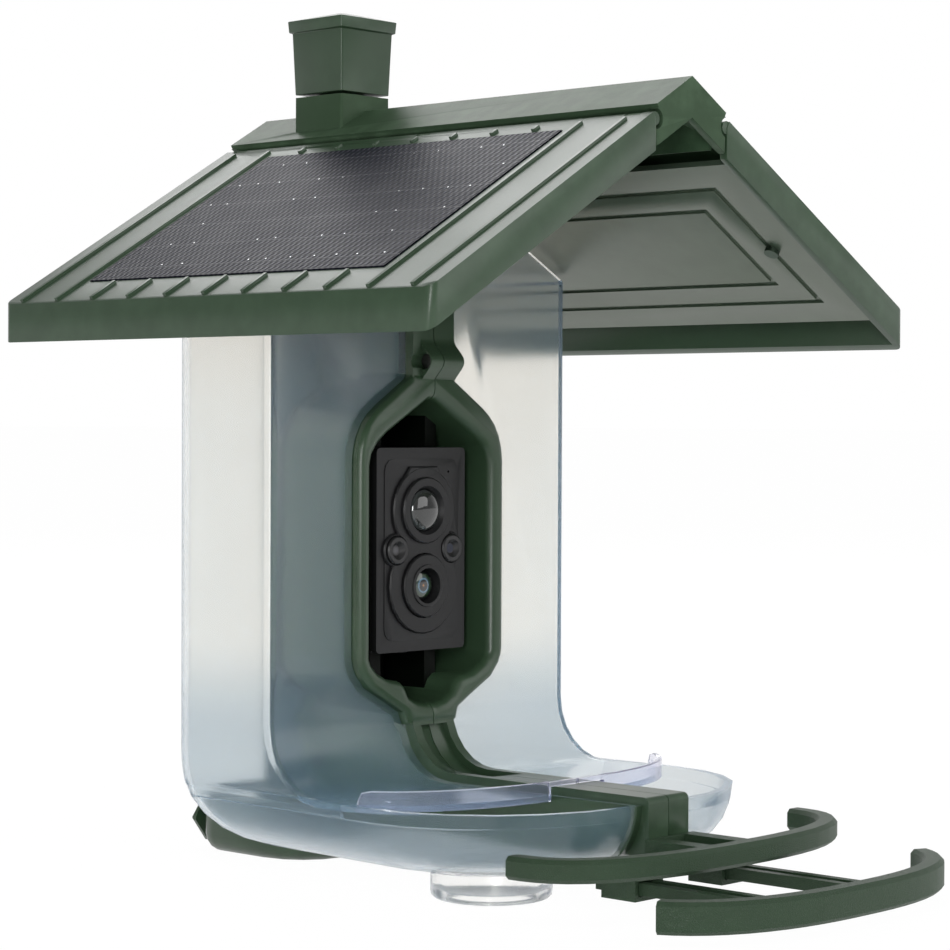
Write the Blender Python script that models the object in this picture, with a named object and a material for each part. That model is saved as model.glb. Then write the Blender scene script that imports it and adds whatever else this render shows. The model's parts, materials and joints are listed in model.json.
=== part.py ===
"""Smart bird feeder: a camera in a green centre housing between two clear seed hoppers,
under a hinged solar roof, with two curved perches in front.

Lengths are in metres. X runs left to right across the feeder, the front faces -Y, +Z is up,
and Z = 0 is the surface that the feeder stands on.
"""
import math

import bmesh
import bpy
from mathutils import Matrix, Vector

# Fits shared by every piece
GAP = 0.0003
OVERRUN = 0.004
SEAM_HALF_GAP = 0.00015
SHARP_ANGLE = math.radians(40)

# Roof
ROOF_HALF_WIDTH = 0.120
ROOF_RISE = 0.0703
ROOF_FRONT_Y = -0.065
ROOF_REAR_Y = 0.136
EAVE_Z = 0.192
FASCIA_HEIGHT = 0.0129
FASCIA_WALL = 0.003
EAVE_CORNER = 0.0035
ROOF_SKIN = 0.003
BATTEN_COUNT = 11
BATTEN_WIDTH = 0.0014
BATTEN_HEIGHT = 0.0009
BATTEN_INSET = 0.0085
SOLAR_LENGTH = 0.1393
SOLAR_EAVE_INSET = 0.0143
SOLAR_FRONT_INSET = 0.0313
SOLAR_RIDGE_INSET = 0.0312
SOLAR_THICKNESS = 0.0016
SOLAR_PROUD = 0.0004
COVER_THICKNESS = 0.0022
COVER_DEPTH = 0.0125
COVER_GROOVE = 0.0008
COVER_GROOVE_WIDTH = 0.0022
COVER_BORDER = 0.012
COVER_BOSS_RADIUS = 0.004
COVER_SCREW_INSET = 0.016

# Ridge cap and roof hinges
CAP_HALF_WIDTH = 0.0176
CAP_PROUD = 0.0014
CAP_THICKNESS = 0.003
CAP_FASCIA_HEIGHT = 0.0133
HINGE_DROP = 0.0024
HINGE_EDGE = 0.0182
BARREL_RADIUS = 0.0022
PIN_RADIUS = 0.0010
PIN_CLEARANCE = 0.00009
EAR_LENGTH = 0.006
EAR_COUNT = 3
EAR_END_INSET = 0.008
EAR_DEPTH = 0.0085

# Chimney
CHIMNEY_Y = 0.0959
STUB_HALF = 0.0121
STUB_RISE = 0.0069
NECK_HEIGHT = 0.0010
CHIMNEY_HEIGHT = 0.0220
CHIMNEY_TOP_HALF = 0.0129
CHIMNEY_RIM_OUT = 0.0009
CHIMNEY_RIM_HEIGHT = 0.0043
CHIMNEY_CROWN = 0.0028
SPIGOT_RADIUS = 0.0080
SPIGOT_LENGTH = 0.0060
SPIGOT_WALL = 0.0018
ANTENNA_RADIUS = 0.0030
ANTENNA_HEIGHT = 0.0280

# Centre housing
SPINE_HALF = 0.0102
SPINE_TOP_Z = 0.0326
SPINE_FRONT_Y = -0.0569
SPINE_BLOCK_BOTTOM_Z = 0.0134
SPINE_CURVE_RADIUS = 0.0204
SPINE_EDGE = 0.0020
FLANGE_HALF = 0.0130
FLANGE_PROUD = 0.0012
SHELF_INNER = 0.0110
SHELF_OUTER = 0.0165
SHELF_SETBACK = 0.0090
NECK_FRONT_Y = 0.0495
TROUGH_HALF = 0.0064
TROUGH_DEPTH = 0.0026
CAMERA_Z = 0.1083
WINDOW_FRONT_Y = 0.0488
WINDOW_BACK_Y = 0.0880
WINDOW_BACK_WALL = 0.0030
WINDOW_HALF = 0.0360
WINDOW_BORDER = 0.0062
WINDOW_SIDE_HALF_RUN = 0.0365
WINDOW_TOP_Z = 0.1695
WINDOW_WAIST_Z = 0.0480
WINDOW_ROUNDING = 0.0018
WINDOW_ROLL = 0.0038
OPENING_TOP_Z = 0.1610
OPENING_BOTTOM_Z = 0.0545
OUTER_SHOULDER_SHARES = ((1.0, -0.23), (0.98, -0.04), (0.925, 0.145), (0.835, 0.31),
                         (0.72, 0.44), (0.59, 0.547), (0.03, 0.925), (0.0, 1.0))
OUTER_WAIST_SHARES = ((1.0, 0.0), (0.98, 0.10), (0.93, 0.22), (0.77, 0.42), (0.37, 0.66), (0.12, 0.82),
                      (0.07, 1.0))
INNER_SHOULDER_SHARES = ((1.0, -0.20), (0.97, 0.0), (0.88, 0.19), (0.74, 0.36), (0.06, 0.98))
INNER_POCKET_SHARES = ((1.0, 0.0), (0.97, 0.12), (0.88, 0.28), (0.70, 0.44), (0.50, 0.50), (0.42, 0.62),
                       (0.36, 0.82), (0.22, 0.95), (0.07, 1.0))
BOSS_LEFT = 0.0063
BOSS_PROUD = 0.0051
BOSS_HALF_HEIGHT = 0.0080
BOSS_Z = 0.1740
SCREW_RADIUS = 0.0012
SCREW_HEAD_RADIUS = 0.0026
SCREW_HEAD_HEIGHT = 0.0016
SCREW_RECESS = 0.0030

# Hoppers
WALL = 0.0022
TOWER_INSET = 0.0035
TOWER_FRONT_Y = 0.0530
TOWER_REAR_Y = 0.1050
TOWER_CORNER = 0.0120
TOWER_FRONT_CORNER = 0.0032
BOWL_FRONT_Y = -0.0530
BOWL_HALF = 0.0775
BOWL_WIDEST_Y = 0.0030
BOWL_CORNER_WIDTH = 0.0600
BOWL_BOTTOM_Z = 0.0082
RIM_Z = 0.0298
REAR_SWEEP_RADIUS = 0.0320
FLARE_RADIUS = 0.0220
HOPPER_ROOF_DROP = 0.0134
LIP_CENTRE_Y = -0.0165
LIP_SWEEP = 0.0440
LIP_SIDE_INSET = 0.0015
LIP_END_INSET = 0.0047
LIP_POWER = 2.3
LIP_THICKNESS = 0.0018
LIP_RISE = 0.0048
LIP_FALL = 0.0018
LIP_END_ROUNDING = 0.0030
FOOT_RADIUS = 0.0198
FOOT_CENTRE_X = 0.0412
FOOT_CENTRE_Y = -0.0170
FOOT_RECESS = 0.0030
FOOT_WALL = 0.0030
FOOT_EDGE = 0.0022

# Rear base and its tab
BASE_HALF = 0.0450
BASE_FRONT_Y = 0.0680
BASE_REAR_Y = 0.1240
BASE_TOP_Z = 0.0175
BASE_FRONT_CORNER = 0.0240
BASE_REAR_CORNER = 0.0100
BASE_EDGE = 0.0062
BASE_TOP_EDGE = 0.0018
BASE_SCREW_Y = 0.0800
BASE_SCREW_TOP_Z = 0.0240
BASE_SCREW_SINK = 0.0025
INSERT_RADIUS = 0.0050
INSERT_BORE = 0.0030
INSERT_HEIGHT = 0.0060
INSERT_Y = 0.0960
TAB_HALF = 0.0400
TAB_THICKNESS = 0.0020
TAB_BOTTOM_Z = 0.0016
TAB_TOP_Z = 0.0192
TAB_GAP = 0.0048
TAB_BOW = 0.0034
TAB_PIN_RADIUS = 0.0012
TAB_BARREL_RADIUS = 0.0024
TAB_PIN_Z = 0.0055
TAB_LUG_X = 0.0120
TAB_LUG_LENGTH = 0.0080
TAB_SECTIONS = 12
TAB_CORNER = 0.0080
TAB_EDGE = 0.0006

# Perches
INNER_PERCH_HALF = 0.0750
INNER_PERCH_SWEEP = 0.0370
INNER_PERCH_FRONT_Y = -0.0910
INNER_PERCH_TOP_Z = 0.0210
INNER_PERCH_BOTTOM_Z = 0.0137
OUTER_PERCH_HALF = 0.0740
OUTER_PERCH_SWEEP = 0.0440
OUTER_PERCH_FRONT_Y = -0.1360
OUTER_PERCH_TOP_Z = 0.0134
OUTER_PERCH_BOTTOM_Z = 0.0035
INNER_PERCH_END_SHARE = 1.0
OUTER_PERCH_END_SHARE = 0.958
PERCH_POWER = 2.5
PERCH_WIDTH = 0.0072
PERCH_EDGE = 0.0013
PERCH_SECTIONS = 24
ARM_HALF = 0.0125
ARM_TOP_Z = 0.0196
ARM_CHANNEL_HALF = 0.0062
ARM_CHANNEL_DEPTH = 0.0021
TONGUE_HALF = 0.0075
TONGUE_LENGTH = 0.0120
TONGUE_TOP_Z = 0.0185
TONGUE_BOTTOM_Z = 0.0150
RAIL_INNER = 0.0170
RAIL_OUTER = 0.0270
RAIL_TOP_Z = 0.0085
RAIL_BOTTOM_Z = 0.0045
RAIL_REAR_Y = -0.0490
RAIL_GROOVE = 0.0010
SLEEVE_WALL = 0.0016
SLEEVE_REAR_Y = -0.0530
SLEEVE_FRONT_Y = -0.0670

# Camera module
CASE_HALF_WIDTH = 0.0221
CASE_HALF_HEIGHT = 0.0356
CASE_FRONT_Y = 0.0553
FACE_THICKNESS = 0.0024
CASE_WALL = 0.0016
CASE_CORNER = 0.0015
PLATE_HEIGHT = 0.0014
PLATE_UPPER_RADIUS = 0.0153
PLATE_LOWER_RADIUS = 0.0170
PLATE_TOP_Z = 0.1374
PLATE_TOP_HALF = 0.0067
PLATE_SHOULDER_Z = 0.1276
PLATE_SHOULDER_HALF = 0.0144
PLATE_EDGE = 0.0005
PANEL_HALF_WIDTH = 0.0184
PANEL_HALF_HEIGHT = 0.0317
PANEL_CORNER = 0.0042
PANEL_PROUD = 0.0003
MIC_X = 0.0133
MIC_Z = 0.1354
MIC_RADIUS = 0.0005
BORE_CHAMFER = 0.0010
PIR_Z = 0.1220
PIR_RING_RADIUS = 0.0117
PIR_LENS_RADIUS = 0.0072
PIR_DOME = 0.0042
LENS_Z = 0.0956
LENS_RING_RADIUS = 0.0112
LENS_MID_RADIUS = 0.0074
LENS_GLASS_RADIUS = 0.0054
RING_HEIGHT = 0.0014
SENSOR_Z = 0.1083
SENSOR_X = 0.0136
SENSOR_RADIUS = 0.0050
SENSOR_LENS_RADIUS = 0.0018
SENSOR_PROUD = 0.0008
BOARD_THICKNESS = 0.0016
BATTERY_DEPTH = 0.0080
BATTERY_HALF_WIDTH = 0.0170
BATTERY_HALF_HEIGHT = 0.0290
SEAL_THICKNESS = 0.0008
BUTTON_RADIUS = 0.0035
BUTTON_FLANGE = 0.0010
BUTTON_Y = 0.0665
BUTTON_PROUD = 0.0013

# Values that follow from the sizes above
SLOPE = math.atan2(ROOF_RISE, ROOF_HALF_WIDTH)
RIDGE_Z = EAVE_Z + ROOF_RISE
STUB_TOP_Z = RIDGE_Z + STUB_RISE
SOLAR_WIDTH = ROOF_HALF_WIDTH / math.cos(SLOPE) - SOLAR_EAVE_INSET - SOLAR_RIDGE_INSET
BOWL_RADIUS = RIM_Z - BOWL_BOTTOM_Z
TOWER_HALF = BOWL_HALF - TOWER_INSET
LIP_HALF_SPAN = BOWL_HALF - LIP_SIDE_INSET
LIP_END_HALF = BOWL_HALF - LIP_END_INSET
LIP_TOP_Z = RIM_Z + LIP_RISE
LIP_BOTTOM_Z = RIM_Z - LIP_FALL
CASE_BACK_Y = WINDOW_BACK_Y - WINDOW_BACK_WALL - GAP
INNER_X = SPINE_HALF + GAP
NECK_SCREW_Y = NECK_FRONT_Y - BOSS_PROUD / 3
STEPS = 6
DOME_STEPS = 4

FINISHES = {
    "green": ((0.048, 0.085, 0.052), 0.42, 0.0),
    "clear": ((0.62, 0.66, 0.70), 0.45, 0.0),
    "black": ((0.012, 0.012, 0.013), 0.50, 0.0),
    "solar": ((0.018, 0.020, 0.026), 0.25, 0.0),
    "lens": ((0.03, 0.03, 0.04), 0.05, 0.0),
    "steel": ((0.55, 0.55, 0.56), 0.30, 1.0),
    "brass": ((0.60, 0.45, 0.20), 0.30, 1.0),
    "board": ((0.02, 0.16, 0.07), 0.50, 0.0),
    "battery": ((0.10, 0.16, 0.32), 0.45, 0.0),
    "rubber": ((0.02, 0.02, 0.02), 0.85, 0.0),
}


def finish(name):
    """The Principled material of one finish, made once and shared."""
    material = bpy.data.materials.get(name)
    if material is None:
        colour, roughness, metallic = FINISHES[name]
        material = bpy.data.materials.new(name)
        material.use_nodes = True
        shader = material.node_tree.nodes["Principled BSDF"]
        shader.inputs["Base Color"].default_value = (*colour, 1.0)
        shader.inputs["Roughness"].default_value = roughness
        shader.inputs["Metallic"].default_value = metallic
    return material


def mesh_object(name, bm, finish_name):
    """An object from a closed bmesh, its faces turned outwards."""
    bmesh.ops.recalc_face_normals(bm, faces=bm.faces)
    mesh = bpy.data.meshes.new(name)
    bm.to_mesh(mesh)
    bm.free()
    mesh.materials.append(finish(finish_name))
    piece = bpy.data.objects.new(name, mesh)
    bpy.context.collection.objects.link(piece)
    return piece


def loft(name, rings, finish_name):
    """A closed solid through rings of equally many points, capped at both ends."""
    bm = bmesh.new()
    rows = [[bm.verts.new(point) for point in ring] for ring in rings]
    bm.faces.new(rows[0])
    bm.faces.new(rows[-1])
    for low, high in zip(rows, rows[1:]):
        for index in range(len(low)):
            after = (index + 1) % len(low)
            bm.faces.new((low[index], low[after], high[after], high[index]))
    return mesh_object(name, bm, finish_name)


def place(axis, along, a, b):
    """A point at a distance along one axis, with (a, b) on the other two in X, Y, Z order."""
    return {"X": (along, a, b), "Y": (a, along, b), "Z": (a, b, along)}[axis]


def prism(name, outline, axis, low, high, finish_name="green"):
    """An outline extruded along an axis."""
    rings = [[place(axis, along, a, b) for a, b in outline] for along in (low, high)]
    return loft(name, rings, finish_name)


def block(name, low, high, finish_name="green"):
    """A box between two corners."""
    outline = [(low[0], low[1]), (high[0], low[1]), (high[0], high[1]), (low[0], high[1])]
    return prism(name, outline, "Z", low[2], high[2], finish_name)


def circle(centre, radius, sides=24, start=0.0):
    """The points of a circle."""
    turn = 2 * math.pi / sides
    return [(centre[0] + radius * math.cos(start + turn * k), centre[1] + radius * math.sin(start + turn * k))
            for k in range(sides)]


def turned(name, profile, axis, centre, finish_name, sides=24):
    """A solid turned about an axis: profile holds (radius, along) from one end to the other."""
    rings = [[place(axis, along, a, b) for a, b in circle(centre, radius, sides)] for radius,
             along in profile]
    return loft(name, rings, finish_name)


def cylinder(name, axis, centre, radius, low, high, finish_name="steel", sides=16):
    """A plain round bar."""
    return turned(name, [(radius, low), (radius, high)], axis, centre, finish_name, sides)


def rounded_rectangle(half_a, half_b, radius, centre=(0.0, 0.0), steps=4):
    """A rectangle with rounded corners, anticlockwise."""
    points = []
    for quarter, (sign_a, sign_b) in enumerate(((1, 1), (-1, 1), (-1, -1), (1, -1))):
        for step in range(steps + 1):
            angle = math.pi / 2 * (quarter + step / steps)
            points.append((centre[0] + sign_a * (half_a - radius) + radius * math.cos(angle),
                           centre[1] + sign_b * (half_b - radius) + radius * math.sin(angle)))
    return points


def combine(base, tools, operation):
    """Boolean each tool into the base with the exact solver, then drop the tools."""
    for tool in tools:
        modifier = base.modifiers.new(operation, "BOOLEAN")
        modifier.operation = operation
        modifier.solver = "EXACT"
        modifier.object = tool
    bpy.context.view_layer.update()
    evaluated = base.evaluated_get(bpy.context.evaluated_depsgraph_get())
    mesh = bpy.data.meshes.new_from_object(evaluated)
    base.modifiers.clear()
    base.data = mesh
    mesh.name = base.name
    for tool in tools:
        bpy.data.objects.remove(tool)
    return base


def cut(base, *tools):
    """Take the tools away from the base."""
    return combine(base, tools, "DIFFERENCE")


def join(base, *tools):
    """Fuse the tools into the base."""
    return combine(base, tools, "UNION")


def mirrored(piece, name):
    """The piece's mirror image across the feeder's middle, as an object of its own."""
    bm = bmesh.new()
    bm.from_mesh(piece.data)
    bmesh.ops.transform(bm, matrix=Matrix.Scale(-1, 4, Vector((1, 0, 0))), verts=bm.verts)
    return mesh_object(name, bm, piece.data.materials[0].name)


def copied(piece, name):
    """A second object with a copy of the piece's mesh."""
    twin = bpy.data.objects.new(name, piece.data.copy())
    bpy.context.collection.objects.link(twin)
    return twin


def hang_on(piece, point):
    """Put a moving piece's origin on its joint's axis."""
    piece.data.transform(Matrix.Translation(-Vector(point)))
    piece.location = point
    return piece


def smooth(piece):
    """Shade a round piece smooth between its sharp edges."""
    piece.data.shade_smooth()
    piece.data.set_sharp_from_angle(angle=SHARP_ANGLE)
    return piece


def offset_outline(points, distance):
    """An anticlockwise outline moved outwards by a distance, with mitred corners."""
    moved = []
    for index, (x, y) in enumerate(points):
        before = Vector(points[index - 1])
        after = Vector(points[(index + 1) % len(points)])
        here = Vector((x, y))
        along_in = (here - before).normalized()
        along_out = (after - here).normalized()
        normal_in = Vector((along_in.y, -along_in.x))
        normal_out = Vector((along_out.y, -along_out.x))
        mitre = (normal_in + normal_out).normalized()
        moved.append(tuple(here + mitre * distance / max(mitre.dot(normal_in), 0.5)))
    return moved


def roof_height(x):
    """Height of the roof's top plane at a distance from the ridge line."""
    return RIDGE_Z - abs(x) * ROOF_RISE / ROOF_HALF_WIDTH


def on_slope(up_slope, out):
    """A point on the right slope: a distance up from the eave and a height above the plane."""
    return (ROOF_HALF_WIDTH - up_slope * math.cos(SLOPE) + out * math.sin(SLOPE),
            EAVE_Z + up_slope * math.sin(SLOPE) + out * math.cos(SLOPE))


HINGE_UP_SLOPE = (ROOF_HALF_WIDTH - HINGE_EDGE - HINGE_DROP * math.sin(SLOPE)) / math.cos(SLOPE)
HINGE_X, HINGE_Z = on_slope(HINGE_UP_SLOPE, -HINGE_DROP)
EAR_RELIEF = BARREL_RADIUS + 2 * GAP
SOLAR_FRONT_Y = ROOF_FRONT_Y + SOLAR_FRONT_INSET


def ear_places():
    """The middles of the ridge cap's hinge ears, front to back."""
    front = ROOF_FRONT_Y + EAR_END_INSET
    step = (ROOF_REAR_Y - ROOF_FRONT_Y - 2 * EAR_END_INSET) / (EAR_COUNT - 1)
    return [front + step * index for index in range(EAR_COUNT)]


def slope_bar(name, low_up, high_up, low_out, high_out, low_y, high_y, finish_name="green"):
    """A bar that lies along the right slope."""
    outline = [on_slope(low_up, low_out), on_slope(low_up, high_out),
               on_slope(high_up, high_out), on_slope(high_up, low_out)]
    return prism(name, outline, "Y", low_y, high_y, finish_name)


def batten_bars():
    """Eleven thin raised battens up the slope, the middle ones broken by the solar panel."""
    bars = []
    first = ROOF_FRONT_Y + BATTEN_INSET
    step = (ROOF_REAR_Y - ROOF_FRONT_Y - 2 * BATTEN_INSET) / (BATTEN_COUNT - 1)
    top = HINGE_UP_SLOPE - EAR_RELIEF - BATTEN_WIDTH
    solar_top = SOLAR_EAVE_INSET + SOLAR_WIDTH
    for index in range(BATTEN_COUNT):
        y = first + step * index
        crosses = SOLAR_FRONT_Y - BATTEN_WIDTH < y < SOLAR_FRONT_Y + SOLAR_LENGTH + BATTEN_WIDTH
        spans = [(BATTEN_WIDTH, top)]
        if crosses:
            spans = [(BATTEN_WIDTH, SOLAR_EAVE_INSET - BATTEN_WIDTH), (solar_top + BATTEN_WIDTH, top)]
        for low, high in spans:
            bars.append(slope_bar("batten", low, high, -BATTEN_HEIGHT, BATTEN_HEIGHT,
                                  y - BATTEN_WIDTH / 2, y + BATTEN_WIDTH / 2))
    return bars


def cover_screw_places():
    """Where the underside cover's screws stand: up the slope and along the roof."""
    middle = HINGE_UP_SLOPE / 2
    return [(middle, ROOF_FRONT_Y + COVER_SCREW_INSET), (middle, ROOF_REAR_Y - COVER_SCREW_INSET)]


def slope_cylinder(name, up_slope, y, radius, low_out, high_out, finish_name="green", sides=16):
    """A round bar that stands square to the right slope."""
    along = Vector((-math.cos(SLOPE), 0, math.sin(SLOPE)))
    rings = []
    for out in (low_out, high_out):
        x, z = on_slope(up_slope, out)
        centre = Vector((x, y, z))
        rings.append([centre + along * a + Vector((0, b, 0)) for a, b in circle((0.0, 0.0), radius, sides)])
    return loft(name, rings, finish_name)


def eave_corner(end_y, inwards):
    """The shaving that rounds one lower corner of the panel, at an end of the roof."""
    centre = (ROOF_HALF_WIDTH - EAVE_CORNER, end_y + inwards * EAVE_CORNER)
    past_x, past_y = ROOF_HALF_WIDTH + OVERRUN, end_y - inwards * OVERRUN
    outline = arc(centre, EAVE_CORNER, 0, -90 * inwards)
    outline += [(centre[0], past_y), (past_x, past_y), (past_x, centre[1])]
    return prism("corner", outline, "Z", EAVE_Z - FASCIA_HEIGHT - OVERRUN, roof_height(centre[0]) + OVERRUN)


def make_roof_panel():
    """The right roof panel: a thin skin with fascias, battens, a solar recess and a hinge barrel."""
    lower = [(ROOF_HALF_WIDTH, EAVE_Z - FASCIA_HEIGHT), (HINGE_X, roof_height(HINGE_X) - FASCIA_HEIGHT)]
    outline = [(HINGE_X, HINGE_Z), on_slope(HINGE_UP_SLOPE, 0.0), on_slope(0.0, 0.0), *lower]
    panel = prism("right_roof_panel", outline, "Y", ROOF_FRONT_Y, ROOF_REAR_Y)
    skin = ROOF_SKIN / math.cos(SLOPE)
    deep = FASCIA_HEIGHT + OVERRUN
    inside = ROOF_HALF_WIDTH - FASCIA_WALL
    past_hinge = HINGE_X - OVERRUN
    hollow = [(inside, roof_height(inside) - skin), (past_hinge, roof_height(past_hinge) - skin),
              (past_hinge, roof_height(past_hinge) - deep), (inside, roof_height(inside) - deep)]
    cavity = prism("cavity", hollow, "Y", ROOF_FRONT_Y + FASCIA_WALL, ROOF_REAR_Y - FASCIA_WALL)
    recess = slope_bar("recess", SOLAR_EAVE_INSET, SOLAR_EAVE_INSET + SOLAR_WIDTH,
                       SOLAR_PROUD - SOLAR_THICKNESS, OVERRUN, SOLAR_FRONT_Y, SOLAR_FRONT_Y + SOLAR_LENGTH)
    cut(panel, cavity, recess, eave_corner(ROOF_FRONT_Y, 1), eave_corner(ROOF_REAR_Y, -1))
    bosses = [slope_cylinder("boss", up, y, COVER_BOSS_RADIUS, -COVER_DEPTH * math.cos(SLOPE)
                             + COVER_THICKNESS + GAP, -ROOF_SKIN / 2)
              for up, y in cover_screw_places()]
    barrel = cylinder("barrel", "Y", (HINGE_X, HINGE_Z), BARREL_RADIUS, ROOF_FRONT_Y + GAP, ROOF_REAR_Y - GAP)
    join(panel, *batten_bars(), *bosses, barrel)
    tools = [cylinder("bore", "Y", (HINGE_X, HINGE_Z), PIN_RADIUS + PIN_CLEARANCE,
                      ROOF_FRONT_Y + FASCIA_WALL / 2, ROOF_REAR_Y - FASCIA_WALL / 2)]
    for y in ear_places():
        tools.append(cylinder("relief", "Y", (HINGE_X, HINGE_Z), EAR_RELIEF,
                              y - EAR_LENGTH / 2 - GAP, y + EAR_LENGTH / 2 + GAP))
    for up, y in cover_screw_places():
        tools.append(slope_cylinder("pilot", up, y, SCREW_RADIUS + GAP / 2,
                                    -COVER_DEPTH, -ROOF_SKIN - GAP))
    return cut(panel, *tools)


def make_solar_panel():
    """The right solar panel, bedded in its recess."""
    return slope_bar("right_solar_panel", SOLAR_EAVE_INSET + GAP, SOLAR_EAVE_INSET + SOLAR_WIDTH - GAP,
                     SOLAR_PROUD - SOLAR_THICKNESS + GAP, SOLAR_PROUD,
                     SOLAR_FRONT_Y + GAP, SOLAR_FRONT_Y + SOLAR_LENGTH - GAP, "solar")


def make_roof_cover():
    """The cover under the right panel: a plate with two nested outlines and four countersinks."""
    top = -COVER_DEPTH * math.cos(SLOPE) + COVER_THICKNESS
    bottom = top - COVER_THICKNESS
    low_up = FASCIA_WALL * 2 + FASCIA_HEIGHT * math.sin(SLOPE)
    high_up = HINGE_UP_SLOPE - EAR_DEPTH
    front = ROOF_FRONT_Y + FASCIA_WALL + GAP
    rear = ROOF_REAR_Y - FASCIA_WALL - GAP
    cover = slope_bar("right_roof_cover", low_up, high_up, bottom, top, front, rear)
    tools = []
    for border in (COVER_BORDER, 2 * COVER_BORDER):
        outer = slope_bar("groove", low_up + border, high_up - border, bottom - OVERRUN,
                          bottom + COVER_GROOVE,
                          front + border, rear - border)
        inner = slope_bar("island", low_up + border + COVER_GROOVE_WIDTH,
                          high_up - border - COVER_GROOVE_WIDTH,
                          bottom - 2 * OVERRUN, bottom + 2 * COVER_GROOVE,
                          front + border + COVER_GROOVE_WIDTH, rear - border - COVER_GROOVE_WIDTH)
        tools.append(cut(outer, inner))
    for up, y in cover_screw_places():
        tools.append(slope_cylinder("hole", up, y, SCREW_RADIUS + GAP, bottom - OVERRUN, top + OVERRUN))
    return cut(cover, *tools)


def make_cover_screws():
    """The two screws that hold the right cover to the panel's bosses."""
    under = -COVER_DEPTH * math.cos(SLOPE) - GAP
    screws = []
    for end, (up, y) in zip(("front", "rear"), cover_screw_places()):
        shank = slope_cylinder("right_cover_screw_" + end, up, y, SCREW_RADIUS,
                               under - SCREW_HEAD_HEIGHT / 2, -ROOF_SKIN - 2 * GAP, "steel", 12)
        head = slope_cylinder("head", up, y, SCREW_HEAD_RADIUS, under - SCREW_HEAD_HEIGHT, under, "steel", 12)
        screws.append(join(shank, head))
    return screws


def make_hinge_pin():
    """The steel rod that the right panel swings on."""
    return smooth(cylinder("right_hinge_pin", "Y", (HINGE_X, HINGE_Z), PIN_RADIUS,
                           ROOF_FRONT_Y + FASCIA_WALL + GAP, ROOF_REAR_Y - FASCIA_WALL - GAP))


def chevron(half_width, top_drop, bottom_drop):
    """A bent band across the ridge, between two drops below the roof plane."""
    top = [(x, roof_height(x) - top_drop) for x in (half_width, 0.0, -half_width)]
    bottom = [(x, roof_height(x) - bottom_drop) for x in (-half_width, 0.0, half_width)]
    return top + bottom


def make_ridge_cap():
    """The bent ridge cap: end fascias, the chimney's stub and the ears of both roof hinges."""
    rise = CAP_PROUD / math.cos(SLOPE)
    under = (CAP_THICKNESS - CAP_PROUD) / math.cos(SLOPE)
    lean = CAP_THICKNESS * math.sin(SLOPE)
    plate = chevron(CAP_HALF_WIDTH, -rise, under)
    plate[3] = (plate[3][0] + lean, roof_height(plate[3][0] + lean) - under)
    plate[5] = (-plate[3][0], plate[3][1])
    cap = prism("ridge_cap", plate, "Y", ROOF_FRONT_Y, ROOF_REAR_Y)
    face = chevron(CAP_HALF_WIDTH, 0.0, CAP_FASCIA_HEIGHT - rise)
    pieces = [prism("fascia", face, "Y", ROOF_FRONT_Y, ROOF_FRONT_Y + FASCIA_WALL),
              prism("fascia", face, "Y", ROOF_REAR_Y - FASCIA_WALL, ROOF_REAR_Y)]
    pieces.append(block("stub", (-STUB_HALF, CHIMNEY_Y - STUB_HALF, roof_height(STUB_HALF)),
                        (STUB_HALF, CHIMNEY_Y + STUB_HALF, STUB_TOP_Z)))
    join(cap, *pieces)
    reliefs = [cylinder("scallop", "Y", (side * HINGE_X, HINGE_Z), EAR_RELIEF + 2 * GAP,
                        ROOF_FRONT_Y - OVERRUN, ROOF_REAR_Y + OVERRUN) for side in (-1, 1)]
    cut(cap, *reliefs)
    ears = []
    for y in ear_places():
        low, high = y - EAR_LENGTH / 2, y + EAR_LENGTH / 2
        web = [(HINGE_X, HINGE_Z - BARREL_RADIUS / 2),
               (HINGE_X - BARREL_RADIUS / 2, HINGE_Z + BARREL_RADIUS / 2),
               (CAP_HALF_WIDTH - lean - CAP_THICKNESS / 2,
                roof_height(CAP_HALF_WIDTH - lean - CAP_THICKNESS / 2) - under / 2), (0.0,
                                                                                      RIDGE_Z - under / 2)]
        web = web + [(-x, z) for x, z in reversed(web[:-1])] + [(0.0, RIDGE_Z - EAR_DEPTH - under)]
        ears.append(prism("ear", web, "Y", low, high))
        ears.extend(cylinder("eye", "Y", (side * HINGE_X, HINGE_Z), BARREL_RADIUS, low + GAP, high - GAP)
                    for side in (-1, 1))
    join(cap, *ears)
    tools = [cylinder("bore", "Y", (side * HINGE_X, HINGE_Z), PIN_RADIUS + PIN_CLEARANCE,
                      ROOF_FRONT_Y + FASCIA_WALL, ROOF_REAR_Y - FASCIA_WALL) for side in (-1, 1)]
    tools.append(cylinder("socket", "Z", (0.0, CHIMNEY_Y), SPIGOT_RADIUS + GAP,
                          STUB_TOP_Z - SPIGOT_LENGTH - GAP, STUB_TOP_Z + OVERRUN, sides=32))
    return cut(cap, *tools)


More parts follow.
